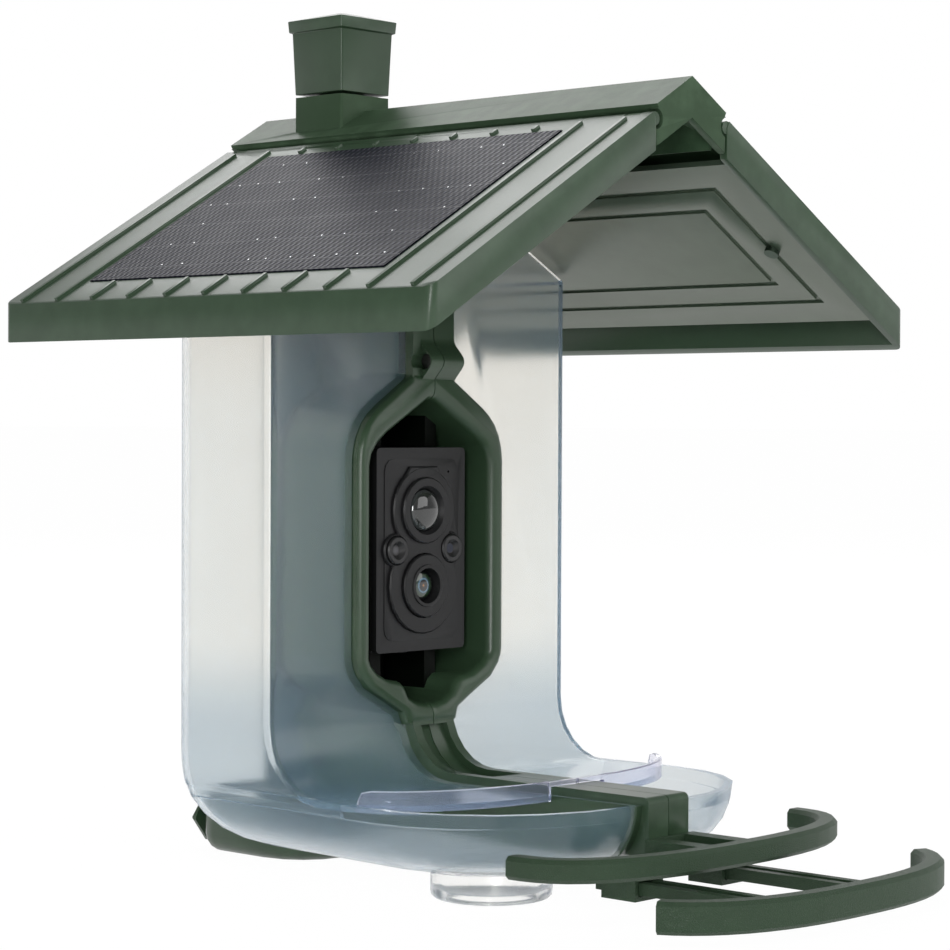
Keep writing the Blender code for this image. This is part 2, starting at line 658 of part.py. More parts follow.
def make_chimney_top():
    """The hollow chimney top: tapered shaft, rim, low hipped crown and a round spigot below."""
    base = STUB_TOP_Z + NECK_HEIGHT
    shoulder = base + CHIMNEY_HEIGHT
    eaves = shoulder + CHIMNEY_RIM_HEIGHT
    rim_half = CHIMNEY_TOP_HALF + CHIMNEY_RIM_OUT
    levels = [(STUB_HALF, base), (CHIMNEY_TOP_HALF, shoulder), (rim_half, shoulder + GAP),
              (rim_half + GAP, eaves), (STUB_HALF / 4, eaves + CHIMNEY_CROWN)]
    corner = CHIMNEY_RIM_OUT
    rings = [[(a, CHIMNEY_Y + b, z) for a, b in rounded_rectangle(half, half, min(corner, half / 2), steps=2)]
             for half, z in levels]
    top = loft("chimney_top", rings, "green")
    spigot = cylinder("spigot", "Z", (0.0, CHIMNEY_Y), SPIGOT_RADIUS, STUB_TOP_Z - SPIGOT_LENGTH,
                      base + OVERRUN, sides=32)
    join(top, spigot)
    bore = cylinder("bore", "Z", (0.0, CHIMNEY_Y), SPIGOT_RADIUS - SPIGOT_WALL,
                    STUB_TOP_Z - SPIGOT_LENGTH - OVERRUN, eaves, sides=32)
    return hang_on(cut(top, bore), (0.0, CHIMNEY_Y, base))


def make_antenna():
    """The rod antenna that stands on the stub, inside the chimney."""
    floor = STUB_TOP_Z - SPIGOT_LENGTH
    return smooth(cylinder("antenna", "Z", (0.0, CHIMNEY_Y), ANTENNA_RADIUS, floor,
                           floor + ANTENNA_HEIGHT, "rubber"))


def make_roof():
    """Both roof panels with their solar panels, covers, screws and pins, and the ridge cap."""
    hinge = (HINGE_X, (ROOF_FRONT_Y + ROOF_REAR_Y) / 2, HINGE_Z)
    for right in (make_roof_panel(), make_solar_panel(), make_roof_cover(), *make_cover_screws()):
        left = mirrored(right, right.name.replace("right", "left"))
        hang_on(right, hinge)
        hang_on(left, (-hinge[0], hinge[1], hinge[2]))
    pin = make_hinge_pin()
    smooth(mirrored(pin, "left_hinge_pin"))
    make_ridge_cap()
    make_chimney_top()
    make_antenna()


def share_path(shares, near_x, far_x, near_z, far_z):
    """Points between two corners, from shares of the width and of the height."""
    return [(near_x + (far_x - near_x) * across, near_z + (far_z - near_z) * up) for across, up in shares]


def both_sides(right_half):
    """An anticlockwise outline from its right half, which runs from the bottom to the top."""
    return right_half + [(-x, z) for x, z in reversed(right_half)]


def window_outline(grow=0.0):
    """The green frame's outer outline in X and Z, moved outwards by grow."""
    low, high = CAMERA_Z - WINDOW_SIDE_HALF_RUN, CAMERA_Z + WINDOW_SIDE_HALF_RUN
    bottom = share_path(OUTER_WAIST_SHARES, SPINE_HALF, WINDOW_HALF, low, WINDOW_WAIST_Z)
    top = share_path(OUTER_SHOULDER_SHARES, SPINE_HALF, WINDOW_HALF, high, WINDOW_TOP_Z)
    return offset_outline(both_sides(bottom[::-1] + top), grow)


def opening_outline(grow=0.0):
    """The camera opening's outline: a pointed top and a finger pocket at the bottom."""
    half = WINDOW_HALF - WINDOW_BORDER
    low, high = CAMERA_Z - WINDOW_SIDE_HALF_RUN, CAMERA_Z + WINDOW_SIDE_HALF_RUN - WINDOW_BORDER / 2
    bottom = share_path(INNER_POCKET_SHARES, 0.0, half, low, OPENING_BOTTOM_Z)
    top = share_path(INNER_SHOULDER_SHARES, 0.0, half, high, OPENING_TOP_Z)
    return offset_outline(both_sides(bottom[::-1] + top), grow)


def arc(centre, radius, start, end, steps=STEPS):
    """Points on an arc between two angles in degrees."""
    angles = [math.radians(start + (end - start) * step / steps) for step in range(steps + 1)]
    return [(centre[0] + radius * math.cos(angle), centre[1] + radius * math.sin(angle)) for angle in angles]


def spine_outline(depth=0.0):
    """The centre housing's side outline in Y and Z, its curved top face sunk by depth."""
    centre = (NECK_FRONT_Y - SPINE_CURVE_RADIUS, SPINE_TOP_Z + SPINE_CURVE_RADIUS)
    top = SPINE_TOP_Z - depth
    slide = arc(centre, SPINE_CURVE_RADIUS + depth, 0, -90)
    front = arc((SPINE_FRONT_Y + SPINE_EDGE, top - SPINE_EDGE), SPINE_EDGE, 90, 180, 3)
    front.append((SPINE_FRONT_Y, SPINE_BLOCK_BOTTOM_Z))
    meeting = 180 + math.degrees(math.asin((RIM_Z - SPINE_BLOCK_BOTTOM_Z) / BOWL_RADIUS))
    bowl = arc((BOWL_FRONT_Y + BOWL_RADIUS, RIM_Z), BOWL_RADIUS, meeting, 270, 5)
    rear = arc((TOWER_REAR_Y - REAR_SWEEP_RADIUS, BOWL_BOTTOM_Z + REAR_SWEEP_RADIUS),
               REAR_SWEEP_RADIUS, 270, 360)
    crown = [(TOWER_REAR_Y, RIDGE_Z), (NECK_FRONT_Y + depth, RIDGE_Z)]
    return slide + front + bowl + rear + crown


def make_housing():
    """The centre housing, made whole and split down its seam into two halves."""
    core = prism("housing", spine_outline(), "X", -SPINE_HALF, SPINE_HALF)
    rows = [(-WINDOW_ROUNDING, WINDOW_FRONT_Y), (-WINDOW_ROUNDING / 3, WINDOW_FRONT_Y + WINDOW_ROUNDING / 3),
            (0.0, WINDOW_FRONT_Y + WINDOW_ROUNDING), (0.0, WINDOW_BACK_Y)]
    frame = loft("frame", [[(x, y, z) for x, z in window_outline(grow)] for grow, y in rows], "green")
    shares = [step / STEPS for step in range(-STEPS, STEPS + 1)]
    swell = [(NECK_FRONT_Y - BOSS_PROUD * math.cos(math.pi / 2 * share) ** 2,
              BOSS_Z - BOSS_HALF_HEIGHT * share) for share in shares]
    behind = NECK_FRONT_Y + BOSS_PROUD
    boss = prism("boss", [*swell, (behind, BOSS_Z - BOSS_HALF_HEIGHT), (behind, BOSS_Z + BOSS_HALF_HEIGHT)],
                 "X", -BOSS_LEFT, SPINE_HALF)
    bowl_centre = (BOWL_FRONT_Y + BOWL_RADIUS, RIM_Z)
    flange = arc(bowl_centre, BOWL_RADIUS + FLANGE_PROUD, 180, 225)
    flange += arc(bowl_centre, BOWL_RADIUS + GAP, 225, 180)
    join(core, frame, boss, prism("flange", flange, "X", -FLANGE_HALF, FLANGE_HALF))
    open_rows = [(WINDOW_ROLL, WINDOW_FRONT_Y - OVERRUN)]
    open_rows += [(WINDOW_ROLL - out, WINDOW_FRONT_Y + WINDOW_ROLL - back)
                  for out, back in arc((0.0, 0.0), WINDOW_ROLL, 90, 0, 3)]
    open_rows.append((0.0, WINDOW_BACK_Y - WINDOW_BACK_WALL))
    opening = loft("opening", [[(x, y, z) for x, z in opening_outline(grow)] for grow, y in open_rows],
                   "green")
    trough_top = WINDOW_WAIST_Z
    trough_points = [(y, z) for y, z in spine_outline(TROUGH_DEPTH)[:STEPS + 1] if z < trough_top]
    trough = prism("trough", [(NECK_FRONT_Y - TROUGH_DEPTH * 2, trough_top), *trough_points,
                              (TOWER_FRONT_Y - FLARE_RADIUS - SPINE_CURVE_RADIUS, SPINE_TOP_Z + GAP),
                              (TOWER_FRONT_Y - FLARE_RADIUS, SPINE_TOP_Z + FLARE_RADIUS / 2)],
                   "X", -TROUGH_HALF, TROUGH_HALF)
    peak_drop = (CAP_THICKNESS - CAP_PROUD) / math.cos(SLOPE) + GAP
    sky = [(WINDOW_HALF, roof_height(WINDOW_HALF) - peak_drop), (WINDOW_HALF, RIDGE_Z + OVERRUN),
           (-WINDOW_HALF, RIDGE_Z + OVERRUN), (-WINDOW_HALF, roof_height(WINDOW_HALF) - peak_drop),
           (0.0, RIDGE_Z - peak_drop)]
    tools = [opening, trough, prism("sky", sky, "Y", NECK_FRONT_Y - OVERRUN, TOWER_REAR_Y + OVERRUN)]
    tools.append(block("stub_room", (-STUB_HALF - GAP, CHIMNEY_Y - STUB_HALF - GAP,
                                     roof_height(STUB_HALF) - GAP),
                       (STUB_HALF + GAP, CHIMNEY_Y + STUB_HALF + GAP, RIDGE_Z + OVERRUN)))
    shelves = [block("shelf", (side * SHELF_INNER, CASE_FRONT_Y + SHELF_SETBACK, low),
                     (side * SHELF_OUTER, WINDOW_BACK_Y - WINDOW_BACK_WALL / 2, high))
               for side in (-1, 1)
               for low, high in ((OPENING_BOTTOM_Z, CAMERA_Z - CASE_HALF_HEIGHT - GAP),
                                 (CAMERA_Z + CASE_HALF_HEIGHT + GAP, OPENING_TOP_Z))]
    tools.append(block("perch_socket", (-TONGUE_HALF - GAP, SPINE_FRONT_Y - OVERRUN, TONGUE_BOTTOM_Z - GAP),
                       (TONGUE_HALF + GAP, SPINE_FRONT_Y + TONGUE_LENGTH + GAP, TONGUE_TOP_Z + GAP)))
    for _, y, z, half in housing_screw_places():
        tools.append(cylinder("bore", "X", (y, z), SCREW_RADIUS + GAP / 2, -half, half - SCREW_RECESS,
                              sides=12))
        tools.append(cylinder("sink", "X", (y, z), SCREW_HEAD_RADIUS + GAP, -half - OVERRUN,
                              SCREW_RECESS - half,
                              sides=12))
    for side in (-1, 1):
        tools.append(cylinder("base_bore", "Z", (side * SPINE_HALF / 2, BASE_SCREW_Y), SCREW_RADIUS + GAP / 2,
                              0.0, BASE_SCREW_TOP_Z + GAP, sides=12))
    cut(core, *tools)
    join(core, *shelves)
    left = copied(core, "left_housing")
    high = RIDGE_Z + OVERRUN
    cut(left, block("half", (-SEAM_HALF_GAP, ROOF_FRONT_Y, -OVERRUN),
                    (WINDOW_HALF + OVERRUN, ROOF_REAR_Y, high)))
    core.name = "right_housing"
    cut(core, block("half", (-WINDOW_HALF - OVERRUN, ROOF_FRONT_Y, -OVERRUN),
                    (SEAM_HALF_GAP, ROOF_REAR_Y, high)))
    return core, left


def housing_screw_places():
    """The screws that join the housing halves: name, Y, Z and half the width there."""
    rear = (WINDOW_BACK_Y + TOWER_REAR_Y) / 2
    return [("neck", NECK_SCREW_Y, BOSS_Z, BOSS_LEFT),
            ("upper_rear", rear, BOSS_Z, SPINE_HALF), ("lower_rear", rear, RIM_Z, SPINE_HALF)]


def make_housing_screws():
    """The steel screws through the housing's seam, with their heads on the left."""
    for name, y, z, half in housing_screw_places():
        seat = SCREW_RECESS - half - GAP
        shank = cylinder("housing_screw_" + name, "X", (y, z), SCREW_RADIUS, seat - SCREW_HEAD_HEIGHT / 2,
                         half - SCREW_RECESS - GAP, sides=12)
        join(shank, cylinder("head", "X", (y, z), SCREW_HEAD_RADIUS, seat - SCREW_HEAD_HEIGHT, seat,
                             sides=12))


def hopper_plan(inset, rear_inset, thickness, front, half, width, depth):
    """One level of the right hopper in X and Y: a straight inner edge and two rounded outer corners."""
    side = half - inset
    rear = TOWER_REAR_Y - rear_inset
    inner = INNER_X + thickness
    points = [(inner, front)]
    for step in range(STEPS + 1):
        angle = math.radians(-90 + 90 * step / STEPS)
        points.append((side - width + width * math.cos(angle), front + depth + depth * math.sin(angle)))
    corner = TOWER_CORNER - max(thickness, 0.0)
    points += arc((TOWER_HALF - inset - corner, rear - corner), corner, 0, 90, STEPS - 2)
    return points + [(inner, rear)]


def sweep_inset(radius, drop):
    """How far a rounded lower edge has drawn in at a drop below its tangent height."""
    reach = min(max(drop, 0.0), radius)
    return radius - math.sqrt(radius * radius - reach * reach)


def rear_inset_at(z, thickness):
    """How far the hopper's rear wall draws in at a height, for a surface set inwards by thickness."""
    return thickness + sweep_inset(REAR_SWEEP_RADIUS - thickness, BOWL_BOTTOM_Z + REAR_SWEEP_RADIUS - z)


def bowl_level(z, inset, thickness):
    """The bowl's plan at one height."""
    drawn = inset - thickness
    plan = hopper_plan(inset, rear_inset_at(z, thickness), thickness, BOWL_FRONT_Y + inset, BOWL_HALF,
                       BOWL_CORNER_WIDTH - drawn, BOWL_WIDEST_Y - BOWL_FRONT_Y - drawn)
    return [(x, y, z) for x, y in plan]


def make_bowl(name, thickness, top_z):
    """The bowl's solid, its surface set inwards by thickness."""
    radius = BOWL_RADIUS - thickness
    rings = []
    for step in range(STEPS + 1):
        angle = math.radians(90 * step / STEPS)
        z = min(RIM_Z - radius * math.cos(angle), top_z)
        rings.append(bowl_level(z, thickness + radius * (1 - math.sin(angle)), thickness))
    return loft(name, rings, "clear")


def make_tower(name, thickness, start_z):
    """The seed chamber's solid, flared forward over the bowl at its foot."""
    centre_y, centre_z = TOWER_FRONT_Y - FLARE_RADIUS, RIM_Z + FLARE_RADIUS
    levels = [(centre_y, start_z)] + arc((centre_y, centre_z), FLARE_RADIUS + thickness, -90, 0)
    levels.append((TOWER_FRONT_Y + thickness, RIDGE_Z))
    corner = TOWER_FRONT_CORNER - max(thickness, 0.0)
    rings = []
    for y, z in levels:
        plan = hopper_plan(max(thickness, 0.0), rear_inset_at(z, thickness), thickness, y, TOWER_HALF,
                           corner, corner)
        rings.append([(x, y, z) for x, y in plan])
    return loft(name, rings, "clear")


def eased_steps(start, end):
    """Places across the lip, closer together towards its steep outer end."""
    steps = 2 * STEPS
    return [start + (end - start) * math.sin(math.pi / 2 * step / steps) for step in range(steps + 1)]


def lip_y(x):
    """Where the seed lip's rear face runs, across the feeder."""
    across = (x / LIP_HALF_SPAN) ** LIP_POWER
    return LIP_CENTRE_Y + LIP_SWEEP * (1 - (1 - across) ** (1 / LIP_POWER))


def lip_front(x):
    """The offset in X and Y from the lip's rear face to its front face, square to the strip."""
    lean = (lip_y(x + GAP) - lip_y(x - GAP)) / (2 * GAP)
    share = LIP_THICKNESS / math.hypot(1.0, lean)
    return share * lean, -share


def roof_wedge(drop):
    """Everything above the right slope, from a drop below it."""
    far = ROOF_HALF_WIDTH
    outline = [(-OVERRUN, roof_height(OVERRUN) - drop), (far, roof_height(far) - drop),
               (far, RIDGE_Z + OVERRUN),
               (-OVERRUN, RIDGE_Z + OVERRUN)]
    return prism("wedge", outline, "Y", ROOF_FRONT_Y, ROOF_REAR_Y)


def window_plug(name, grow):
    """The housing's camera box, grown on every side, as a cutter for the hopper."""
    rows = (WINDOW_FRONT_Y - 2 * OVERRUN, WINDOW_BACK_Y + grow)
    return loft(name, [[(x, y, z) for x, z in window_outline(grow)] for y in rows], "green")


def make_hopper():
    """The right hopper: a thin clear shell, open under the roof and over the front of its bowl."""
    hopper = make_bowl("right_hopper", 0.0, RIM_Z)
    join(hopper, make_tower("tower", 0.0, RIM_Z - WALL / 2))
    cut(hopper, window_plug("plug", GAP), roof_wedge(HOPPER_ROOF_DROP))
    inside = make_bowl("inside", WALL, RIM_Z - WALL)
    join(inside, make_tower("tower_inside", WALL, RIM_Z - 2 * WALL))
    cut(inside, window_plug("plug", GAP + WALL))
    mouth_plan = bowl_level(RIM_Z, WALL, WALL)
    mouth = loft("mouth", [[(x, y, z) for x, y, _ in mouth_plan] for z in (RIM_Z - 2 * WALL,
                                                                           RIM_Z + OVERRUN)],
                 "clear")
    edge = [(x, lip_y(x) + GAP) for x in eased_steps(0.0, LIP_HALF_SPAN - GAP)]
    behind = [(0.0, TOWER_REAR_Y + OVERRUN), *edge, (BOWL_HALF + OVERRUN, edge[-1][1]),
              (BOWL_HALF + OVERRUN, TOWER_REAR_Y + OVERRUN)]
    cut(mouth, prism("behind", behind, "Z", 0.0, RIM_Z + 2 * OVERRUN))
    return smooth(cut(hopper, inside, mouth))


def make_seed_lip():
    """The right seed lip: a curved strip along the cover's edge, bridging the spine at its inner end."""
    end_y = lip_y(LIP_END_HALF)
    rings = []
    for x in eased_steps(INNER_X + WALL + 2 * GAP, LIP_END_HALF):
        y = lip_y(x)
        past = LIP_END_ROUNDING - min(math.hypot(LIP_END_HALF - x, end_y - y), LIP_END_ROUNDING)
        top = LIP_TOP_Z - LIP_END_ROUNDING + math.sqrt(LIP_END_ROUNDING ** 2 - past ** 2)
        over, ahead = lip_front(x)
        rings.append([(x + over, y + ahead, LIP_BOTTOM_Z), (x, y, LIP_BOTTOM_Z), (x, y, top - GAP),
                      (x + over / 3, y + ahead / 3, top), (x + 2 * over / 3, y + 2 * ahead / 3, top),
                      (x + over, y + ahead, top - GAP)])
    lip = loft("right_seed_lip", rings, "clear")
    bridge = block("bridge", (SEAM_HALF_GAP, LIP_CENTRE_Y - LIP_THICKNESS + GAP / 2, SPINE_TOP_Z + GAP),
                   (INNER_X + 2 * WALL, LIP_CENTRE_Y + GAP / 2, LIP_TOP_Z - GAP / 2), "clear")
    return smooth(join(lip, bridge))


def make_foot():
    """The round foot under the right bowl, hollowed from below."""
    centre = (FOOT_CENTRE_X, FOOT_CENTRE_Y)
    profile = arc((FOOT_RADIUS - FOOT_EDGE, FOOT_EDGE), FOOT_EDGE, -90, 0, 3)
    profile.append((FOOT_RADIUS, BOWL_BOTTOM_Z + OVERRUN / 2))
    foot = turned("right_foot", profile, "Z", centre, "clear", 28)
    radius = FOOT_RADIUS - FOOT_EDGE - FOOT_WALL
    hollow = cylinder("hollow", "Z", centre, radius, -OVERRUN, FOOT_RECESS, sides=28)
    return smooth(cut(foot, hollow, make_bowl("seat", -GAP, RIM_Z)))


def make_hoppers():
    """Both hoppers with their seed lips and feet."""
    for right in (make_hopper(), make_seed_lip(), make_foot()):
        smooth(mirrored(right, right.name.replace("right", "left")))


def make_rear_base():
    """The rear base: a rounded foot that follows the underside of the hoppers and carries the insert."""
    rings = []
    middle = (BASE_FRONT_Y + BASE_REAR_Y) / 2
    half_depth = (BASE_REAR_Y - BASE_FRONT_Y) / 2
    levels = [(-out, BASE_EDGE + up) for out, up in arc((-BASE_EDGE, 0.0), BASE_EDGE, -90, 0, 4)]
    levels += [(0.0, BASE_TOP_Z - BASE_TOP_EDGE), (BASE_TOP_EDGE, BASE_TOP_Z)]
    for inset, z in levels:
        front = rounded_rectangle(BASE_HALF - inset, half_depth - inset, BASE_FRONT_CORNER - inset,
                                  (0.0, middle))
        rear = rounded_rectangle(BASE_HALF - inset, half_depth - inset, BASE_REAR_CORNER - inset,
                                 (0.0, middle))
        ring = rear[:len(rear) // 2] + front[len(front) // 2:]
        rings.append([(x, y, z) for x, y in ring])
    base = loft("rear_base", rings, "green")
    centre = (TOWER_REAR_Y - REAR_SWEEP_RADIUS, BOWL_BOTTOM_Z + REAR_SWEEP_RADIUS)
    saddle = [(BASE_FRONT_Y - OVERRUN, centre[1]), (BASE_FRONT_Y - OVERRUN, BOWL_BOTTOM_Z - GAP)]
    saddle += arc(centre, REAR_SWEEP_RADIUS + GAP, 270, 360)
    tools = [prism("saddle", saddle, "X", -BASE_HALF - OVERRUN, BASE_HALF + OVERRUN)]
    pin_y = BASE_REAR_Y + TAB_BARREL_RADIUS + GAP
    lugs = []
    for side in (-1, 1):
        x = side * SPINE_HALF / 2
        tools.append(cylinder("bore", "Z", (x, BASE_SCREW_Y), SCREW_RADIUS + GAP, -OVERRUN, BASE_TOP_Z,
                              sides=12))
        tools.append(cylinder("sink", "Z", (x, BASE_SCREW_Y), SCREW_HEAD_RADIUS + GAP, -OVERRUN,
                              BASE_SCREW_SINK,
                              sides=12))
        inner = TAB_LUG_X + TAB_LUG_LENGTH + GAP
        lug = cylinder("lug", "X", (pin_y, TAB_PIN_Z), TAB_BARREL_RADIUS, *sorted((side * inner,
                       side * (inner + TAB_LUG_LENGTH))), "green", 16)
        arm = block("arm", (side * inner, BASE_REAR_Y - BASE_EDGE, TAB_PIN_Z - TAB_BARREL_RADIUS * 2 / 3),
                    (side * (inner + TAB_LUG_LENGTH), pin_y, TAB_PIN_Z + TAB_BARREL_RADIUS * 2 / 3))
        lugs += [lug, arm]
    tools.append(cylinder("pocket", "Z", (0.0, INSERT_Y), INSERT_RADIUS + GAP, -OVERRUN, INSERT_HEIGHT + GAP))
    join(base, *lugs)
    tools.append(cylinder("pin_bore", "X", (pin_y, TAB_PIN_Z), TAB_PIN_RADIUS + PIN_CLEARANCE, -BASE_HALF,
                          BASE_HALF,
                          sides=12))
    return smooth(cut(base, *tools))


def make_base_metal():
    """The threaded insert, the two base screws and the tab's pin."""
    insert = cylinder("mount_insert", "Z", (0.0, INSERT_Y), INSERT_RADIUS, 0.0, INSERT_HEIGHT, "brass")
    smooth(cut(insert, cylinder("thread", "Z", (0.0, INSERT_Y), INSERT_BORE, -OVERRUN,
                                INSERT_HEIGHT + OVERRUN)))
    for name, side in (("left", -1), ("right", 1)):
        centre = (side * SPINE_HALF / 2, BASE_SCREW_Y)
        seat = BASE_SCREW_SINK - GAP
        screw = cylinder("base_screw_" + name, "Z", centre, SCREW_RADIUS, seat - SCREW_HEAD_HEIGHT / 2,
                         BASE_SCREW_TOP_Z, sides=12)
        smooth(join(screw, cylinder("head", "Z", centre, SCREW_HEAD_RADIUS, seat - SCREW_HEAD_HEIGHT, seat,
                                    sides=12)))
    reach = TAB_LUG_X + 2 * TAB_LUG_LENGTH + GAP
    smooth(cylinder("tab_pin", "X", (BASE_REAR_Y + TAB_BARREL_RADIUS + GAP, TAB_PIN_Z), TAB_PIN_RADIUS,
                    -reach, reach,
                    sides=12))


def make_rear_tab():
    """The bowed release tab behind the base, hung on its pin by two eyes."""
    pin_y = BASE_REAR_Y + TAB_BARREL_RADIUS + GAP
    rings = []
    for step in range(TAB_SECTIONS + 1):
        across = -1 + 2 * step / TAB_SECTIONS
        past = max(0.0, 1 - (1 - abs(across)) * TAB_HALF / TAB_CORNER)
        fall = TAB_CORNER * (1 - math.sqrt(max(0.0, 1 - past * past)))
        low, top = TAB_BOTTOM_Z + fall, TAB_TOP_Z - fall
        y = BASE_REAR_Y + TAB_GAP + TAB_BOW * (1 - across * across)
        rings.append([(across * TAB_HALF, y + out, z) for out, z in
                      ((0.0, low), (TAB_THICKNESS - TAB_EDGE, low),
                       (TAB_THICKNESS, low + TAB_EDGE), (TAB_THICKNESS, top - TAB_EDGE),
                       (TAB_THICKNESS - TAB_EDGE, top), (0.0, top))])
    tab = loft("rear_tab", rings, "green")
    pieces = []
    for side in (-1, 1):
        ends = sorted((side * TAB_LUG_X, side * (TAB_LUG_X + TAB_LUG_LENGTH)))
        pieces.append(cylinder("eye", "X", (pin_y, TAB_PIN_Z), TAB_BARREL_RADIUS, *ends, "green", 16))
        pieces.append(block("link", (ends[0], pin_y, TAB_PIN_Z - TAB_BARREL_RADIUS * 2 / 3),
                            (ends[1], BASE_REAR_Y + TAB_GAP + TAB_BOW,
                             TAB_PIN_Z + TAB_BARREL_RADIUS * 2 / 3)))
    join(tab, *pieces)
    cut(tab, cylinder("bore", "X", (pin_y, TAB_PIN_Z), TAB_PIN_RADIUS + PIN_CLEARANCE, -TAB_HALF, TAB_HALF,
                      sides=12))
    return hang_on(smooth(tab), (0.0, pin_y, TAB_PIN_Z))


def perch_arc(name, half, sweep, front_y, end_share, bottom_z, top_z):
    """A curved perch: a rounded bar along part of an ellipse with squared shoulders."""
    last = math.atan2(end_share, (1 - end_share ** PERCH_POWER) ** (1 / PERCH_POWER))
    rings = []
    for step in range(PERCH_SECTIONS + 1):
        angle = last * (-1 + 2 * step / PERCH_SECTIONS)
        across, along = math.sin(angle), math.cos(angle)
        reach = (abs(across) ** PERCH_POWER + along ** PERCH_POWER) ** (-1 / PERCH_POWER)
        outer = Vector((half * across * reach, front_y + sweep - sweep * along * reach))
        inwards = Vector((-math.copysign(abs(across) ** (PERCH_POWER - 1), across) / half,
                          along ** (PERCH_POWER - 1) / sweep)).normalized()
        section = ((PERCH_EDGE, bottom_z), (0.0, bottom_z + PERCH_EDGE), (0.0, top_z - PERCH_EDGE),
                   (PERCH_EDGE, top_z), (PERCH_WIDTH - PERCH_EDGE, top_z), (PERCH_WIDTH, top_z - PERCH_EDGE),
                   (PERCH_WIDTH, bottom_z + PERCH_EDGE), (PERCH_WIDTH - PERCH_EDGE, bottom_z))
        rings.append([(*(outer + inwards * depth), z) for depth, z in section])
    return loft(name, rings, "green")


def make_inner_perch():
    """The upper perch with its channelled arm, its tongue and the two sleeves for the outer perch's rails."""
    perch = perch_arc("inner_perch", INNER_PERCH_HALF, INNER_PERCH_SWEEP, INNER_PERCH_FRONT_Y,
                      INNER_PERCH_END_SHARE, INNER_PERCH_BOTTOM_Z, INNER_PERCH_TOP_Z)
    arm_rear = SPINE_FRONT_Y - GAP
    inside = INNER_PERCH_FRONT_Y + PERCH_WIDTH / 2
    low = INNER_PERCH_BOTTOM_Z + GAP
    arm = block("arm", (-ARM_HALF, inside, low), (ARM_HALF, arm_rear, ARM_TOP_Z))
    tongue = block("tongue", (-TONGUE_HALF, arm_rear - OVERRUN, TONGUE_BOTTOM_Z),
                   (TONGUE_HALF, SPINE_FRONT_Y + TONGUE_LENGTH, TONGUE_TOP_Z))
    floor = RAIL_BOTTOM_Z - GAP - SLEEVE_WALL
    sleeves = []
    slots = []
    for side in (-1, 1):
        near, far = side * (RAIL_INNER - GAP - SLEEVE_WALL), side * (RAIL_OUTER + GAP + SLEEVE_WALL)
        sleeves.append(block("sleeve", (near, SLEEVE_FRONT_Y, floor),
                             (far, SLEEVE_REAR_Y, RAIL_TOP_Z + 2 * SLEEVE_WALL)))
        slots.append(block("slot", (side * (RAIL_INNER - GAP), SLEEVE_FRONT_Y - OVERRUN, RAIL_BOTTOM_Z - GAP),
                           (side * (RAIL_OUTER + GAP), SLEEVE_REAR_Y + OVERRUN, RAIL_TOP_Z + GAP)))
    reach = RAIL_OUTER + GAP + SLEEVE_WALL / 2
    bridge = block("bridge", (-reach, SLEEVE_FRONT_Y + GAP, RAIL_TOP_Z + SLEEVE_WALL),
                   (reach, arm_rear, INNER_PERCH_BOTTOM_Z + 2 * GAP))
    join(perch, arm, tongue, bridge, *sleeves)
    channel = block("channel", (-ARM_CHANNEL_HALF, INNER_PERCH_FRONT_Y + PERCH_WIDTH + GAP,
                                ARM_TOP_Z - ARM_CHANNEL_DEPTH),
                    (ARM_CHANNEL_HALF, arm_rear - PERCH_EDGE, ARM_TOP_Z + OVERRUN))
    return smooth(cut(perch, channel, *slots))


def make_outer_perch():
    """The lower perch, which slides forward on two grooved rails."""
    perch = perch_arc("outer_perch", OUTER_PERCH_HALF, OUTER_PERCH_SWEEP, OUTER_PERCH_FRONT_Y,
                      OUTER_PERCH_END_SHARE, OUTER_PERCH_BOTTOM_Z, OUTER_PERCH_TOP_Z)
    front = OUTER_PERCH_FRONT_Y + PERCH_WIDTH
    rails = []
    grooves = []
    for side in (-1, 1):
        rails.append(block("rail", (side * RAIL_INNER, front, RAIL_BOTTOM_Z),
                           (side * RAIL_OUTER, RAIL_REAR_Y, RAIL_TOP_Z)))
        third = (RAIL_OUTER - RAIL_INNER) / 3
        grooves.append(block("groove", (side * (RAIL_INNER + third), front + 2 * PERCH_WIDTH / 3,
                                        RAIL_TOP_Z - RAIL_GROOVE),
                             (side * (RAIL_OUTER - third), RAIL_REAR_Y - RAIL_GROOVE,
                              RAIL_TOP_Z + RAIL_GROOVE)))
    join(perch, *rails)
    return hang_on(smooth(cut(perch, *grooves)), (0.0, OUTER_PERCH_FRONT_Y, OUTER_PERCH_BOTTOM_Z))


def front_solid(name, outline, height, edge, face_y, finish_name="black"):
    """A flat piece on the camera's face: an outline in X and Z, standing out towards the front."""
    levels = ((0.0, face_y + GAP), (0.0, face_y - height + edge), (-edge, face_y - height))
    rings = [[(x, y, z) for x, z in offset_outline(outline, grow)] for grow, y in levels]
    return loft(name, rings, finish_name)


def face_disc(name, x, z, radius, height, edge, face_y, sides=24):
    """A round piece on the camera's face with an eased front edge."""
    return front_solid(name, circle((x, z), radius, sides), height, edge, face_y)


